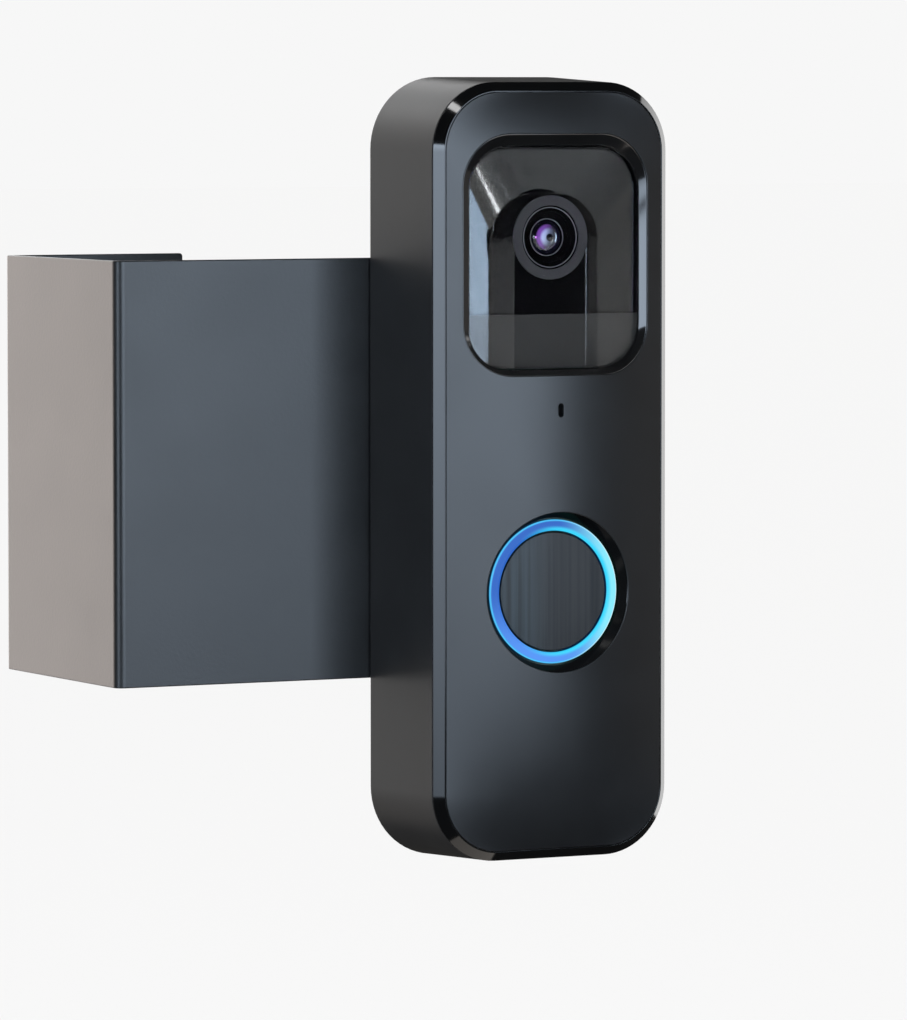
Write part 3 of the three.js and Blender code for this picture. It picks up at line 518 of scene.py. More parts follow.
def outline(width, height, corner, x=0.0, z=0.0, turn=16, sides=(24, 8, 24, 8)):
    """Points and outward normals round a rectangle with round corners, anticlockwise.

    Each corner is a quarter circle in `turn` steps. Each side, in the order top, left, bottom,
    right, is cut evenly into that many steps, or at the listed places along it.
    """
    reach_x, reach_z = width / 2 - corner, height / 2 - corner
    points, normals = [], []
    centres = ((reach_x, reach_z), (-reach_x, reach_z), (-reach_x, -reach_z), (reach_x, -reach_z))
    for quarter, (cx, cz) in enumerate(centres):
        angle = (quarter + np.linspace(0, 1, turn + 1)) * math.pi / 2
        normal = np.stack([np.cos(angle), np.sin(angle)], axis=1)
        arc = np.array([cx, cz]) + corner * normal
        points.append(arc)
        normals.append(normal)
        following = centres[(quarter + 1) % 4]
        start, end = arc[-1], np.array(following) + corner * normal[-1]
        cuts, axis = sides[quarter], quarter % 2
        if np.ndim(cuts) == 0:
            share = np.linspace(0, 1, cuts + 1)[1:-1]
        else:
            places = np.asarray(cuts, float) - (x, z)[axis]
            share = (places - start[axis]) / (end[axis] - start[axis])
        points.append(start + share[:, None] * (end - start))
        normals.append(np.repeat(normal[-1:], len(share), axis=0))
    return np.concatenate(points) + np.array([x, z]), np.concatenate(normals)


def circle(radius, x=0.0, z=0.0, steps=96):
    """Points and outward normals round a circle, anticlockwise from the front."""
    angle = np.linspace(0, 2 * math.pi, steps, endpoint=False)
    normal = np.stack([np.cos(angle), np.sin(angle)], axis=1)
    return np.array([x, z]) + radius * normal, normal


def profile(corners, closed=False):
    """A profile through the corners, each given as (out, forward, radius).

    Each corner is replaced by an arc of its radius that touches both of its sides. Every row
    returned is (out, forward, normal out, normal forward). A radius of 0 keeps a sharp corner,
    written twice with the normal of each side.
    """
    at = np.array([c[:2] for c in corners], float)
    count = len(at)
    rows = []
    for i, (_, _, radius) in enumerate(corners):
        before = at[i] - at[i - 1]
        after = at[(i + 1) % count] - at[i]
        before, after = before / np.linalg.norm(before), after / np.linalg.norm(after)
        n0, n1 = np.array([before[1], -before[0]]), np.array([after[1], -after[0]])
        straight = np.dot(before, after) > 1 - 1e-9
        if not closed and i == 0:
            rows.append([*at[i], *n1])
        elif (not closed and i == count - 1) or straight:
            rows.append([*at[i], *n0])
        elif radius == 0:
            rows += [[*at[i], *n0], [*at[i], *n1]]
        else:
            turn = math.acos(np.clip(np.dot(before, after), -1, 1))
            bend = 1 if before[0] * after[1] - before[1] * after[0] > 0 else -1
            centre = at[i] - before * radius * math.tan(turn / 2) - bend * radius * n0
            for share in np.linspace(0, 1, ARC_STEPS + 1):
                n = math.sin((1 - share) * turn) * n0 + math.sin(share * turn) * n1
                n = n / math.sin(turn)
                rows.append([*(centre + bend * radius * n), *n])
    if closed:
        rows.append(rows[0])
    return np.array(rows)


# %% Helpers: patches and meshes


def patch(points, normals, round_trip=True):
    """A grid of points as (points, normals, faces). If round_trip, the columns join into a loop."""
    rows, columns = points.shape[:2]
    number = np.arange(rows * columns).reshape(rows, columns)
    if round_trip:
        number = np.concatenate([number, number[:, :1]], axis=1)
    faces = np.stack([number[:-1, :-1], number[:-1, 1:], number[1:, 1:], number[1:, :-1]], axis=-1)
    return points.reshape(-1, 3), normals.reshape(-1, 3), faces.reshape(-1, 4)


def carried(loop, rows):
    """A profile carried round an outline.

    A point is the outline's point, moved out along the outline's normal by the row's first
    number and forward by its second.
    """
    base, out = loop
    rows = np.asarray(rows, float)
    xz = base[None] + rows[:, None, 0:1] * out[None]
    y = np.repeat(-rows[:, None, 1:2], len(base), axis=1)
    points = np.concatenate([xz[..., 0:1], y, xz[..., 1:2]], axis=-1)
    flat_out = np.stack([out[:, 0], np.zeros(len(out)), out[:, 1]], axis=-1)
    normals = rows[:, None, 2:3] * flat_out[None] + rows[:, None, 3:4] * FRONT
    return patch(points, normals)


def turned(corners, z, closed=False):
    """A profile of (radius, forward, edge radius) carried round an axis that points forward."""
    return carried(circle(0.0, 0.0, z), profile(corners, closed))


def laid(loop, forward):
    """An outline's points at a depth, or at each point's own depth."""
    base = loop[0] if isinstance(loop, tuple) else loop
    depth = np.broadcast_to(np.asarray(forward, float), (len(base),))
    return np.stack([base[:, 0], -depth, base[:, 1]], axis=-1)


def padded(triangles):
    """Triangles as faces of four corners, the last corner written twice."""
    return np.concatenate([triangles, triangles[:, -1:]], axis=1)


def flat(points, triangles, depth, forward=True):
    """Triangles laid flat at a depth, facing forward or back."""
    normals = np.repeat((FRONT if forward else -FRONT)[None], len(points), axis=0)
    faces = padded(triangles)
    return laid(points, depth), normals, faces if forward else faces[:, ::-1]


def filled(base, depth, forward=True):
    """A flat face inside a convex outline, as a fan of triangles round its middle."""
    number = np.arange(len(base))
    fan = np.stack([number, np.roll(number, -1), np.full_like(number, len(base))], axis=-1)
    return flat(np.concatenate([base, [base.mean(axis=0)]]), fan, depth, forward)


def inside(points, loop):
    """Whether each point lies inside a closed loop, by counting the edges to its right."""
    x, z = points[:, 0:1], points[:, 1:2]
    x0, z0 = loop[:, 0][None], loop[:, 1][None]
    x1, z1 = np.roll(loop[:, 0], -1)[None], np.roll(loop[:, 1], -1)[None]
    spans = (z0 > z) != (z1 > z)
    slope = (x1 - x0) / np.where(z1 == z0, 1e-12, z1 - z0)
    return (spans & (x < x0 + slope * (z - z0))).sum(axis=1) % 2 == 1


EDGE_GAP = 0.12  # the least distance in mm between an outline and a point spread inside it


def blank(outer, holes, spread):
    """Triangles that fill an outline and leave its holes open, as (points, triangles).

    Spread is a list of points inside; those in a hole, or too near an edge, are left out.
    """
    loops = [outer, *holes]
    edge = np.concatenate(loops)
    keep = inside(spread, outer)
    for hole in holes:
        keep &= ~inside(spread, hole)
    near = np.full(len(spread), np.inf)
    for part in np.array_split(edge, max(1, len(edge) // 40)):
        away = np.linalg.norm(spread[:, None] - part[None], axis=2).min(axis=1)
        near = np.minimum(near, away)
    spread = spread[keep & (near > EDGE_GAP)]
    points = np.concatenate([edge, spread])
    edges, start = [], 0
    for loop in loops:
        number = np.arange(len(loop)) + start
        edges += np.stack([number, np.roll(number, -1)], axis=1).tolist()
        start += len(loop)
    found = delaunay_2d_cdt([Vector(p) for p in points.tolist()], edges, [], 0, 1e-7)
    points = np.array([tuple(p) for p in found[0]])
    triangles = np.array(found[2])
    middle = points[triangles].mean(axis=1)
    keep = inside(middle, outer)
    for hole in holes:
        keep &= ~inside(middle, hole)
    triangles = triangles[keep]
    a, b, c = (points[triangles[:, k]] for k in range(3))
    ab, ac = b - a, c - a
    turn = ab[:, 0] * ac[:, 1] - ab[:, 1] * ac[:, 0]
    triangles[turn < 0] = triangles[turn < 0][:, ::-1]
    return points, triangles


def piece(name, parts, finish, body, replaces=()):
    """Joins patches into one welded mesh object in metres, with each corner's exact normal."""
    shift, points, normals, faces = 0, [], [], []
    for part_points, part_normals, part_faces in parts:
        points.append(part_points)
        normals.append(part_normals)
        faces.append(part_faces + shift)
        shift += len(part_points)
    points, normals, faces = (np.concatenate(each) for each in (points, normals, faces))
    _, first, welded = np.unique(np.round(points, 4), axis=0, return_index=True,
                                 return_inverse=True)
    welded = welded.reshape(-1)
    corners = welded[faces]
    keep = corners != np.roll(corners, 1, axis=1)
    keep[keep.sum(axis=1) < 3] = False
    count = keep.sum(axis=1)
    mesh = bpy.data.meshes.new(name)
    mesh.vertices.add(len(first))
    mesh.vertices.foreach_set("co", (points[first] * MM).ravel())
    mesh.loops.add(int(count.sum()))
    mesh.loops.foreach_set("vertex_index", corners[keep].astype(np.int32))
    used = count[count > 0]
    mesh.polygons.add(len(used))
    starts = np.concatenate([[0], np.cumsum(used)[:-1]])
    mesh.polygons.foreach_set("loop_start", starts.astype(np.int32))
    mesh.update(calc_edges=True)
    mesh.shade_smooth()
    exact = normals[faces[keep]]
    exact = exact / np.maximum(np.linalg.norm(exact, axis=1, keepdims=True), 1e-9)
    mesh.normals_split_custom_set(exact.tolist())
    mesh.materials.append(finishes[finish])
    made = bpy.data.objects.new(name, mesh)
    bpy.context.scene.collection.objects.link(made)
    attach(made, body)
    if replaces:
        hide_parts(*replaces)
    print(name, "-", len(used), "faces")
    return made


# %% [markdown]
# A third helper bends a strip round corners that are not the same all the way round, such as
# the frame between the window's mouth, which follows the crown, and the flat glass below it.

# %% Helper: a ribbon through outlines


def unit(vectors):
    """Vectors made one long."""
    return vectors / np.maximum(np.linalg.norm(vectors, axis=-1, keepdims=True), 1e-12)


def ribbon(corners, soft, round_trip=True):
    """A strip through several outlines of equal length, each an array of (x, y, z).

    Between two outlines the strip is straight. At each outline in between, the corner is
    replaced by a curve that leaves the strip `soft` millimetres before it and joins it as far
    after. The normal of a straight part is square to the strip and to the outline.
    """
    corners = [np.asarray(c, float) for c in corners]
    around = [np.roll(c, -1, axis=0) - np.roll(c, 1, axis=0) if round_trip
              else np.gradient(c, axis=0) for c in corners]
    rows, normals = [], []
    for k in range(len(corners) - 1):
        start, end = corners[k], corners[k + 1]
        step = unit(end - start)
        n_start, n_end = unit(np.cross(around[k], step)), unit(np.cross(around[k + 1], step))
        first, last = start, end
        if k > 0 and soft[k]:
            first = start + step * soft[k]
            share = np.linspace(0, 1, ARC_STEPS + 1)[1:-1, None, None]
            rows.append((1 - share) ** 2 * rows[-1][-1] + 2 * share * (1 - share) * start
                        + share ** 2 * first)
            normals.append(unit((1 - share) * normals[-1][-1] + share * n_start))
        if k + 2 < len(corners) and soft[k + 1]:
            last = end - step * soft[k + 1]
        rows.append(np.stack([first, last]))
        normals.append(np.stack([n_start, n_end]))
    return patch(np.concatenate(rows), np.concatenate(normals), round_trip)


# %% [markdown]
# ## The housing
#
# The housing is a tube with a 2 mm wall that tapers a little from back to front, like any
# moulding that has to leave its tool. Its back edge is bevelled, and its bottom wall has slots
# for the loudspeaker and a hole for the release pin. The slots are simply faces left out of
# the grid, with short walls between the outer and the inner skin.

# %% Housing
BACK, BEVEL_END, HOUSING_FRONT = 2.6, 3.1, 23.75
WALL = 2
SEAM_WIDTH, SEAM_HEIGHT, SEAM_CORNER = 43.5, 128.3, 11.4
SLOT_FROM, SLOT_TO = 10, 18
RELEASE_HALF, RELEASE_FROM, RELEASE_TO = 3, 3.4, 5.5
slot_middles = np.arange(-2, 3) * 3.2
slot_edges = np.concatenate([slot_middles - 0.6, slot_middles + 0.6,
                             [-RELEASE_HALF, RELEASE_HALF]])
BODY_SIDES = (8, 24, np.sort(slot_edges), 24)
back_loop = outline(45.3, 130, 12, sides=BODY_SIDES)
seam_loop = outline(SEAM_WIDTH, SEAM_HEIGHT, SEAM_CORNER, sides=BODY_SIDES)


def seam_share(forward):
    """How far a depth lies on the way from the bevel to the seam, from 0 to 1."""
    return np.clip((forward - BEVEL_END) / (HOUSING_FRONT - BEVEL_END), 0, 1)


def housing_patch():
    """The tube's closed profile, carried round an outline that changes evenly with depth."""
    cuts = [RELEASE_FROM, RELEASE_TO, SLOT_FROM, SLOT_TO]
    rows = profile([(-0.5, BACK, 0.12), (0, BEVEL_END, 0.3), *((0, f, 0) for f in cuts),
                    (0, HOUSING_FRONT, 0.1), (-WALL, HOUSING_FRONT, 0),
                    *((-WALL, f, 0) for f in cuts[::-1]), (-WALL, BACK, 0)], closed=True)
    points, normals, faces = carried(back_loop, rows)
    change = np.tile(seam_loop[0] - back_loop[0], (len(rows), 1))
    points[:, [0, 2]] += seam_share(-points[:, 1:2]) * change
    return points, normals, faces


def bottom_wall(forward):
    """How far below the middle the outside of the bottom wall is, at a depth."""
    return 65 - 0.85 * seam_share(forward)


def tunnel(x0, x1, f0, f1):
    """The four walls of a slot through the bottom wall."""
    x, f = np.array([x0, x1, x1, x0, x0]), np.array([f0, f0, f1, f1, f0])
    outer = np.stack([x, -f, -bottom_wall(f)], axis=-1)
    inner = outer + [0, 0, WALL]
    walls = np.stack([outer[:-1], outer[1:], inner[1:], inner[:-1]], axis=1)
    middle = np.array([(x0 + x1) / 2, -(f0 + f1) / 2, 0])
    normal = np.cross(walls[:, 1] - walls[:, 0], walls[:, 3] - walls[:, 0])
    flip = ((middle - walls[:, 0]) * normal)[:, :2].sum(axis=1) < 0
    normal[flip] *= -1
    walls[flip] = walls[flip][:, ::-1]
    normals = np.repeat(unit(normal), 4, axis=0)
    return walls.reshape(-1, 3), normals, np.arange(16).reshape(4, 4)


slots = [(middle - 0.6, middle + 0.6, SLOT_FROM, SLOT_TO) for middle in slot_middles]
slots.append((-RELEASE_HALF, RELEASE_HALF, RELEASE_FROM, RELEASE_TO))
shell_points, shell_normals, shell_faces = housing_patch()
centre = shell_points[shell_faces].mean(axis=1)
for x0, x1, f0, f1 in slots:
    hit = ((centre[:, 2] < -60) & (centre[:, 0] > x0) & (centre[:, 0] < x1)
           & (-centre[:, 1] > f0) & (-centre[:, 1] < f1))
    shell_faces, centre = shell_faces[~hit], centre[~hit]
piece("housing_shell", [(shell_points, shell_normals, shell_faces), *(tunnel(*s) for s in slots)],
      "shell_satin", "unit", ["main_housing"])

# %% [markdown]
# ## The front cover
#
# The cover's rim is a polished 45 degree chamfer that ends in a small bead. Inside a fine
# groove lies the satin face. It is crowned: a parabola from side to side, flat down the middle
# and turned down at its two ends. The face is a flat blank of triangles with openings for the
# window, the button and the microphone. Each point is then pushed to the crown's depth and
# given the crown's own normal, so that the long soft reflections run clean through.

# %% The crown
RIM_DEPTH, CROWN, CROWN_POWER = 25.45, 2.498, 6
RIM_WIDTH, RIM_HEIGHT, RIM_CORNER = 40.5, 125.3, 9.9
FACE_BACK = 24.3


def crown(x, z):
    """How far forward the face is: the rim's depth, plus a rise that falls off as the square of
    the way across and as the sixth power of the way up or down."""
    straight = RIM_HEIGHT / 2 - RIM_CORNER
    over = np.clip(np.abs(z) - straight, 0, RIM_CORNER)
    half = RIM_WIDTH / 2 - RIM_CORNER + np.sqrt(RIM_CORNER ** 2 - over ** 2)
    across = 1 - np.minimum(np.abs(x) / half, 1) ** 2
    along = 1 - np.minimum(np.abs(z) / (RIM_HEIGHT / 2), 1) ** CROWN_POWER
    return RIM_DEPTH + CROWN * across * along


def crown_normal(x, z):
    """The crown's normal, from its slope either side of the point."""
    d = 0.05
    dx = (crown(x + d, z) - crown(x - d, z)) / (2 * d)
    dz = (crown(x, z + d) - crown(x, z - d)) / (2 * d)
    return unit(np.stack([-dx, -np.ones_like(dx), -dz], axis=-1))


def crowned(loop):
    """An outline laid on the crown."""
    return laid(loop, crown(loop[0][:, 0], loop[0][:, 1]))


def edge_on_crown(loop, out, radius=0.14):
    """The rounded edge of the face along an outline, and the wall below it.

    Out is 1 for the face's own rim and -1 round an opening. The edge rolls from the crown's
    normal to straight out in a small arc, then drops to the back of the face.
    """
    top = crowned(loop)
    n = crown_normal(loop[0][:, 0], loop[0][:, 1])
    o = out * np.stack([loop[1][:, 0], np.zeros(len(loop[1])), loop[1][:, 1]], axis=-1)
    turn = np.arccos(np.clip((n * o).sum(axis=-1, keepdims=True), -1, 1))
    share = np.linspace(0, 1, ARC_STEPS + 1)[:, None, None]
    lean = unit(np.sin((1 - share) * turn) * n + np.sin(share * turn) * o)
    points = top - radius * n + radius * lean
    foot = points[-1].copy()
    foot[:, 1] = -FACE_BACK
    points = np.concatenate([points, foot[None]])
    normals = np.concatenate([lean, lean[-1:]])
    if out > 0:
        points, normals = points[::-1], normals[::-1]
    return patch(points, normals), foot


# %% Chamfer and face
trim_loop = outline(SEAM_WIDTH, SEAM_HEIGHT, SEAM_CORNER)
trim = profile([(-1.9, 23.95, 0), (0, 23.95, 0.06), (0, 24.07, 0.12), (-1.44, 25.47, 0.1),
                (-1.64, 25.47, 0.08), (-1.64, 24.7, 0), (-1.9, 24.7, 0)], closed=True)
piece("front_chamfer", [carried(trim_loop, trim)], "trim_gloss", "unit")

FACE_INSET = 1.8
face_loop = outline(SEAM_WIDTH - 2 * FACE_INSET, SEAM_HEIGHT - 2 * FACE_INSET,
                    SEAM_CORNER - FACE_INSET)
MOUTH = outline(34.7, 40, 8.8, z=35.8, turn=18, sides=(10, 14, 10, 14))
BUTTON_MOUTH = circle(13.35, z=BUTTON_Z)
MIC_MOUTH = outline(1.2, 2.4, 0.59, z=10.2, turn=6, sides=(1, 2, 1, 2))
grid_x, grid_z = np.meshgrid(np.arange(-20, 20.1, 1.0), np.arange(-62, 62.1, 1.0))
spread = np.stack([grid_x.ravel(), grid_z.ravel()], axis=1)
openings = [MOUTH, BUTTON_MOUTH, MIC_MOUTH]
face_points, face_triangles = blank(face_loop[0], [o[0] for o in openings], spread)
front_skin = (laid(face_points, crown(*face_points.T)), crown_normal(*face_points.T),
              padded(face_triangles))
edges, feet = zip(edge_on_crown(face_loop, 1), edge_on_crown(MOUTH, -1),
                  edge_on_crown(BUTTON_MOUTH, -1), edge_on_crown(MIC_MOUTH, -1, 0.12))
back_blank = blank(feet[0][:, [0, 2]], [foot[:, [0, 2]] for foot in feet[1:]], spread)
back_skin = flat(*back_blank, FACE_BACK, forward=False)
piece("crowned_face", [front_skin, back_skin, *edges], "face_satin", "unit", ["front_cover"])

# %% [markdown]
# ## The camera window
#
# A polished frame slopes from the crown down to the glass. Below the glass is a glossy trough
# whose sides slope in to a groove, and a post rises from the groove to carry the lens. The
# trough keeps stray light out of a very wide lens. Because every outline is listed with the
# same number of points, the frame, the trough and the post are three ribbons.

# %% Frame, pane and film
FRAME_BACK = 23.4
GLASS_LOOP = outline(31.8, 36.9, 7.4, z=35.3, turn=18, sides=(10, 14, 10, 14))
mouth_in = MOUTH[0] - 0.15 * MOUTH[1]
frame_corners = [laid(mouth_in, FRAME_BACK), laid(mouth_in, crown(*mouth_in.T) - 0.06),
                 laid(GLASS_LOOP, 25.45), laid(GLASS_LOOP, FRAME_BACK), laid(mouth_in, FRAME_BACK)]
window_frame = piece("window_frame", [ribbon(frame_corners, (0, 0.22, 0.1, 0, 0))],
                     "trim_gloss", "unit", ["window_bezel"])
frame_only.objects.link(window_frame)

PANE_HALF, PANE_TOP, PANE_BOTTOM, PANE_CORNER = 31.5 / 2, 53.6, 17.0, 7.25
PANE_FRONT, PANE_BACK = 25.28, 24.3
BAND_TOP, BAND_GAP = 26.0, 0.04
TAB_STEPS = {"side": 12, "turn": 18, "top": 10}


def tab(half, low, high, corner):
    """Points up the right side of an upright tab, over its rounded top and down its left."""
    rise = np.linspace(low, high - corner, TAB_STEPS["side"], endpoint=False)
    right = np.stack([np.full_like(rise, half), rise], axis=1)
    angle = np.linspace(0, math.pi / 2, TAB_STEPS["turn"] + 1)
    round_corner = corner * np.stack([np.cos(angle), np.sin(angle)], axis=1)
    arc = np.array([half - corner, high - corner]) + round_corner
    across = np.linspace(half - corner, corner - half, TAB_STEPS["top"] + 1)[1:-1]
    top = np.stack([across, np.full_like(across, high)], axis=1)
    mirror = np.array([-1, 1])
    return np.concatenate([right, arc, top, arc[::-1] * mirror, right[::-1] * mirror])


def slab(points):
    """A flat pane with a tiny softened edge, from a closed convex outline of points."""
    edge = 0.06
    middle = points.mean(axis=0)
    shrink = middle + (points - middle) * (1 - edge / np.abs(points - middle).max())
    wall = ribbon([laid(shrink, PANE_BACK), laid(points, PANE_BACK + edge),
                   laid(points, PANE_FRONT - edge), laid(shrink, PANE_FRONT)], (0, 0, 0, 0))
    return [wall, filled(shrink, PANE_FRONT), filled(shrink, PANE_BACK, False)]


pane = tab(PANE_HALF, BAND_TOP + BAND_GAP, PANE_TOP, PANE_CORNER)
clear_pane = piece("clear_pane", slab(pane), "window_glass", "unit", ["camera_window"])
# the smoked band is a tab hung upside down
hung = tab(PANE_HALF, 0, BAND_TOP - BAND_GAP - PANE_BOTTOM, PANE_CORNER)[::-1] * [1, -1]
smoked_band = piece("smoked_band", slab(hung + [0, BAND_TOP - BAND_GAP]), "motion_film", "unit",
                    ["motion_window"])
for pane_piece in (clear_pane, smoked_band):
    hood_only.objects.link(pane_piece)
lens_only.objects.link(clear_pane)

# %% Trough and post
HOOD_LOW, HOOD_HIGH, HOOD_BACK = 17.1, 53.5, 19.2
POST = (6.6, 45.2, 6.5)  # half its width, its top and its corner
POST_FRONT = 23.9
hood_rows = [  # half width, top, corner, depth, and how far the corner of the strip is softened
    (15.65, HOOD_HIGH, 7.15, HOOD_BACK, 0),
    (15.65, HOOD_HIGH, 7.15, 24.2, 0.05),
    (15.15, HOOD_HIGH - 0.5, 6.65, 24.2, 0.12),
    (10, 45.8, 7.5, 22.2, 0.1),
    (9.8, 45.6, 7.3, 22.2, 0.1),
    (6.8, 45.4, 6.7, POST_FRONT, 0.18),
    (*POST, POST_FRONT, 0),
]
hood = ribbon([laid(tab(half, HOOD_LOW, high, corner), depth)
               for half, high, corner, depth, _ in hood_rows],
              [row[-1] for row in hood_rows], round_trip=False)
post_outline = tab(POST[0], HOOD_LOW, *POST[1:])
barrel_hole = circle(5.25, z=LENS_Z, steps=72)
post_front = flat(*blank(post_outline, [barrel_hole[0]], np.array([[0.0, 25.0]])), POST_FRONT)
barrel_wall = carried(barrel_hole, [[0, POST_FRONT, -1, 0], [0, HOOD_BACK, -1, 0]])
trough = piece("camera_hood_trough", [hood, barrel_wall], "hood_gloss", "unit", ["camera_hood"])
hood_only.objects.link(trough)
post_plate = piece("post_front", [post_front], "post_black", "unit")

# %% [markdown]
# ## The lens
#
# A satin ring stands just proud of the post. Inside it is a black barrel with fine steps, and
# two of its edges catch the light as thin grey lines, painted here as highlights: two rings of a
# lighter grey. The domed front lens closes the barrel and hides the smaller lens of the engineering
# model, which lies deeper down.

# %% Lens ring, barrel and front lens
satin_ring = piece("satin_lens_ring", [turned([
    (6.93, 23.92, 0), (6.93, 24.2, 0.08), (5.3, 24.24, 0.06), (5.3, 23.92, 0)],
    z=LENS_Z, closed=True)], "lens_ring_grey", "unit", ["lens_ring"])
barrel = piece("stepped_barrel", [turned([
    (5.1, 12, 0), (5.1, 23.9, 0.1), (4.75, 23.9, 0.1), (4.5, 23.2, 0.05), (4.25, 23.2, 0.05),
    (4.15, 22.95, 0.05), (3.3, 22.6, 0.08), (3.15, 22.75, 0.05), (2.95, 22.7, 0.05),
    (2.95, 20.6, 0), (1.6, 20.35, 0.03), (1.6, 20.05, 0), (4.2, 20.05, 0), (4.2, 17.9, 0),
    (2.6, 17.9, 0), (2.6, 12, 0)], z=LENS_Z, closed=True)],
    "post_black", "unit", ["lens_barrel"])
# painted highlight: two thin rings of lighter grey on the barrel's edges, for the edges catching
# the light
LINE_WIDTH, LINE_HEIGHT = 0.14, 0.15
edge_lines = [turned([(outer, low, 0), (outer, low + LINE_HEIGHT, 0.04),
                      (outer - LINE_WIDTH, low + LINE_HEIGHT, 0.04),
                      (outer - LINE_WIDTH, low, 0)], z=LENS_Z, closed=True)
              for outer, low in ((5.0, 23.85), (3.1, 22.7))]
piece("lens_edge_lines", edge_lines, "edge_line", "unit")


def dome(rim, crest, radius, back):
    """A lens with a flat back, a straight rim and a spherical front, from their depths."""
    bulge = crest - rim
    sphere = (radius ** 2 + bulge ** 2) / (2 * bulge)
    angle = math.asin(radius / sphere) * (1 - np.linspace(0, 1, 17))
    sine, cosine = np.sin(angle), np.cos(angle)
    cap = np.stack([sphere * sine, crest - sphere + sphere * cosine, sine, cosine], axis=1)
    side = np.array([[0, back, 0, -1], [radius, back, 0, -1],
                     [radius, back, 1, 0], [radius, rim, 1, 0]])
    return carried(circle(0.0, 0, LENS_Z, 72), np.concatenate([side, cap]))


domed_lens = piece("domed_front_lens", [dome(rim=22.4, crest=23.85, radius=2.9, back=21.9)],
                   "lens_glass", "unit", ["front_lens"])
lens_only.objects.link(domed_lens)

# %% [markdown]
# The window's inside is shaded from the front softbox, because its walls are steep and shiny
# and would only mirror one big white card. The cards made for the hood light it instead. The
# window's frame is shaded from the key lamp in the same way.

# %% What the front softbox and the key lamp leave out
shaded = bpy.data.collections.new("shaded from the front softbox")
for hidden in (trough, post_plate, clear_pane, smoked_band, barrel, satin_ring):
    shaded.objects.link(hidden)
shaded_frame = bpy.data.collections.new("shaded from the key lamp")
shaded_frame.objects.link(window_frame)
for entry in (*shaded.collection_objects, *shaded_frame.collection_objects):
    entry.light_linking.link_state = "EXCLUDE"
front_softbox.light_linking.receiver_collection = shaded
key_lamp.light_linking.receiver_collection = shaded_frame

# %% [markdown]
# ## The push button
#
# The button sits in a shallow polished cone cut through the crown. Round it is the milky ring
# that glows, and then the satin cap, with a hairline gap between them.

# %% Button recess, ring and cap
RECESS_BACK, RING_BACK = 24.2, 24.15
recess = circle(13.25, z=BUTTON_Z)
inner_recess = circle(12.25, z=BUTTON_Z)
recess_corners = [laid(recess, RECESS_BACK), laid(recess, crown(*recess[0].T) - 0.05),
                  laid(inner_recess, RING_FRONT), laid(inner_recess, RECESS_BACK),
                  laid(recess, RECESS_BACK)]
button_recess = piece("button_recess", [ribbon(recess_corners, (0, 0.2, 0.1, 0, 0))],
                      "trim_gloss", "unit", ["button_bezel"])
frame_only.objects.link(button_recess)
glowing_ring = piece("glowing_ring", [turned([
    (RING_OUTER, RING_BACK, 0), (RING_OUTER, RING_FRONT, 0.45),
    (RING_INNER, RING_FRONT, 0.45), (RING_INNER, RING_BACK, 0)], z=BUTTON_Z, closed=True)],
    "light_diffuser", "unit", ["light_ring"])
glowing_ring.visible_glossy = False  # its glow isn't doubled in the gloss beside it
piece("button_cap_face", [turned([
    (0, 23.9, 0), (2.4, 23.9, 0), (2.4, 24.2, 0), (8.6, 24.2, 0), (8.6, 23, 0), (9.5, 23, 0),
    (9.5, 24.2, 0), (9.8, 24.2, 0), (9.8, 25.15, 0.15), (7.4, 25.2, 2), (4.9, 25.228, 2),
    (2.4, 25.244, 2), (0, 25.25, 0)], z=BUTTON_Z)], "button_satin", "button", ["button_cap"])

# %% [markdown]
# ## The bracket
#
# The bracket starts as a flat blank of 1.2 mm steel, cut and drilled, and is then bent twice to
# wrap round the edge of the door. It is made the same way here: the blank has its holes and its
# slightly rounded edges while it is flat, and one function wraps every point and normal round
# the two bends.

# %% The flat blank
HALF_SHEET = 0.6
BEND = math.pi / 2
FRONT_END, LEFT_TURN, FLANGE_END = 21.0, -67.2, -36.0
EDGE_LENGTH, FLANGE_LENGTH = 41.9, FLANGE_END - LEFT_TURN
BLANK_LENGTH = (FRONT_END - LEFT_TURN) + BEND + EDGE_LENGTH + BEND + FLANGE_LENGTH
BLANK_HEIGHT = 70
SHEET_EDGE, EDGE_LAP = 0.2, 0.3  # the rounding of the sheet's edges, and the margin it takes up
PLATE_SCREW_Z, CLAMP_SCREW_Z, CLAMP_SCREW_X = 22, 20, -52
first_bend = np.linspace(LEFT_TURN, LEFT_TURN - BEND, 13)
second_bend = first_bend - BEND - EDGE_LENGTH
flange_start = second_bend[-1]
stops = np.concatenate([np.arange(16, -66, -6.0), first_bend,
                        first_bend[-1] - np.arange(5, 40, 6.0), second_bend,
                        flange_start - np.arange(3, 31, 4.0)])


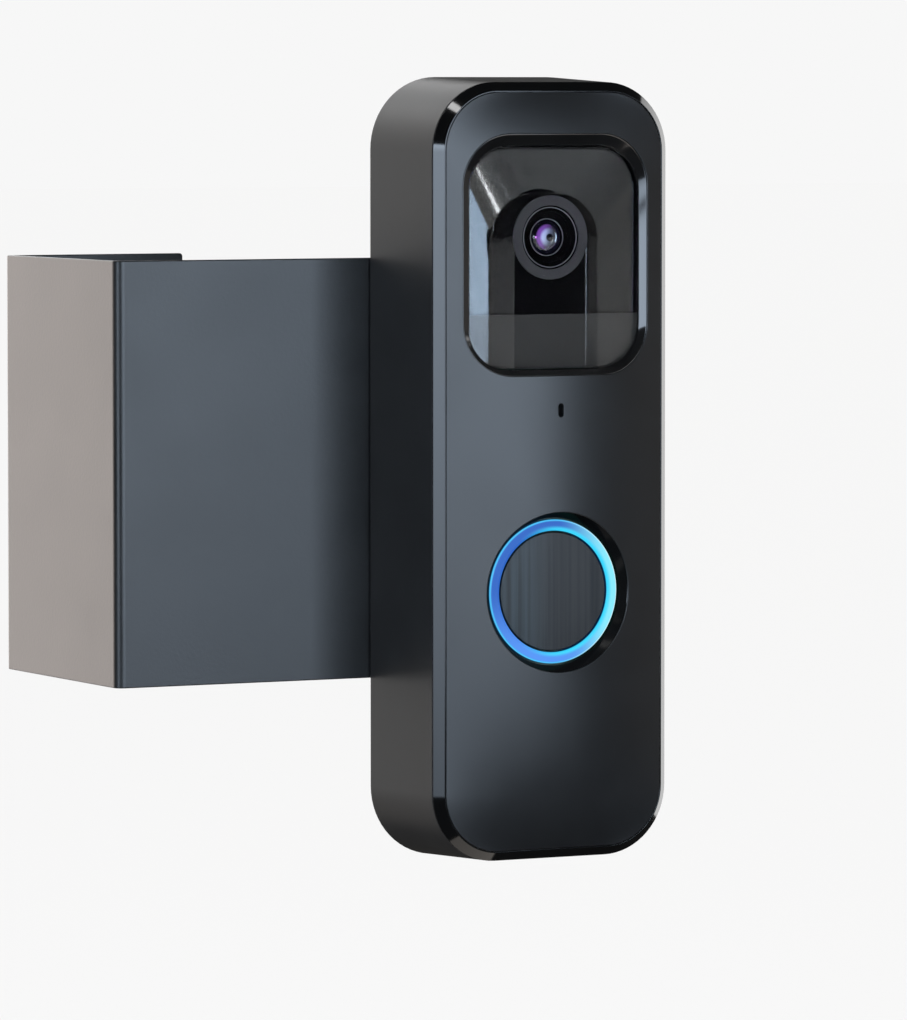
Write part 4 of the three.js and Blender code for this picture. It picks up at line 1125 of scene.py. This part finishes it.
def flat_blank():
    """Both faces, the outer edge and the edges of the four holes of the sheet while it is flat."""
    shape = outline(BLANK_LENGTH, BLANK_HEIGHT, 0.5, x=FRONT_END - BLANK_LENGTH / 2, turn=4,
                    sides=(stops, 14, stops[::-1], 14))
    clamp_hole = flange_start - (CLAMP_SCREW_X - LEFT_TURN)
    holes = [circle(1.75, 0, side * PLATE_SCREW_Z, 24) for side in (-1, 1)]
    holes += [circle(2.2, clamp_hole, side * CLAMP_SCREW_Z, 24) for side in (-1, 1)]
    rim, bore = (profile([(-side * EDGE_LAP, -side * HALF_SHEET, 0),
                          (0, -side * HALF_SHEET, SHEET_EDGE), (0, side * HALF_SHEET, SHEET_EDGE),
                          (-side * EDGE_LAP, side * HALF_SHEET, 0)]) for side in (1, -1))
    gx, gz = np.meshgrid(stops, np.arange(-30, 31, 5.0))
    inner = shape[0] - EDGE_LAP * shape[1]
    wide = [hole + EDGE_LAP * out for hole, out in holes]
    sheet = blank(inner, wide, np.stack([gx.ravel(), gz.ravel()], axis=1))
    return [flat(*sheet, HALF_SHEET), flat(*sheet, -HALF_SHEET, forward=False),
            carried(shape, rim), *(carried(hole, bore) for hole in holes)]


# %% Bend it round the door
CENTRE_Y, BEND_RADIUS = -1.9, 1.0


def wrapped(part):
    """Wraps a flat part round both bends.

    A point's place along the blank says where it is on the centre line and which way outwards
    is there. Its height stays, and its distance from the centre line is laid along outwards.
    """
    points, normals, faces = part
    along, off, height = points[:, 0], -points[:, 1], points[:, 2]
    turn_1 = np.clip(LEFT_TURN - along, 0, BEND)
    straight = np.clip(LEFT_TURN - BEND - along, 0, EDGE_LENGTH)
    turn_2 = np.clip(LEFT_TURN - BEND - EDGE_LENGTH - along, 0, BEND)
    beyond = np.maximum(flange_start - along, 0)
    angle = -math.pi / 2 - turn_1 - turn_2
    out = np.stack([np.cos(angle), np.sin(angle)], axis=1)
    forth = np.stack([-np.sin(angle), np.cos(angle)], axis=1)
    corner = np.stack([np.full_like(along, LEFT_TURN), CENTRE_Y + BEND_RADIUS + straight], axis=1)
    place = corner + out + forth * (np.maximum(along - LEFT_TURN, 0) - beyond)[:, None]
    place = place + out * off[:, None]
    n = normals[:, 0:1] * forth - normals[:, 1:2] * out
    return (np.stack([place[:, 0], place[:, 1], height], axis=-1),
            np.stack([n[:, 0], n[:, 1], normals[:, 2]], axis=-1), faces)


bracket_sheet = piece("bent_bracket_sheet", [wrapped(part) for part in flat_blank()],
                      "bracket_paint", "bracket", ["bracket_sheet"])
bracket_only.objects.link(bracket_sheet)

# %% [markdown]
# ## Everything else
#
# The pieces inside the housing and behind the door keep the shape that the engineering model
# gave them. Each takes the finish of its material slot.

# %% Finishes for the pieces that stay
slot_of = {p["node"]: p["material_slot"] for p in frame["record"]["subparts"]}
for name, node in nodes.items():
    node.data.materials.clear()
    node.data.materials.append(finishes[slot_of[name]])
print("finished", len(nodes), "pieces")
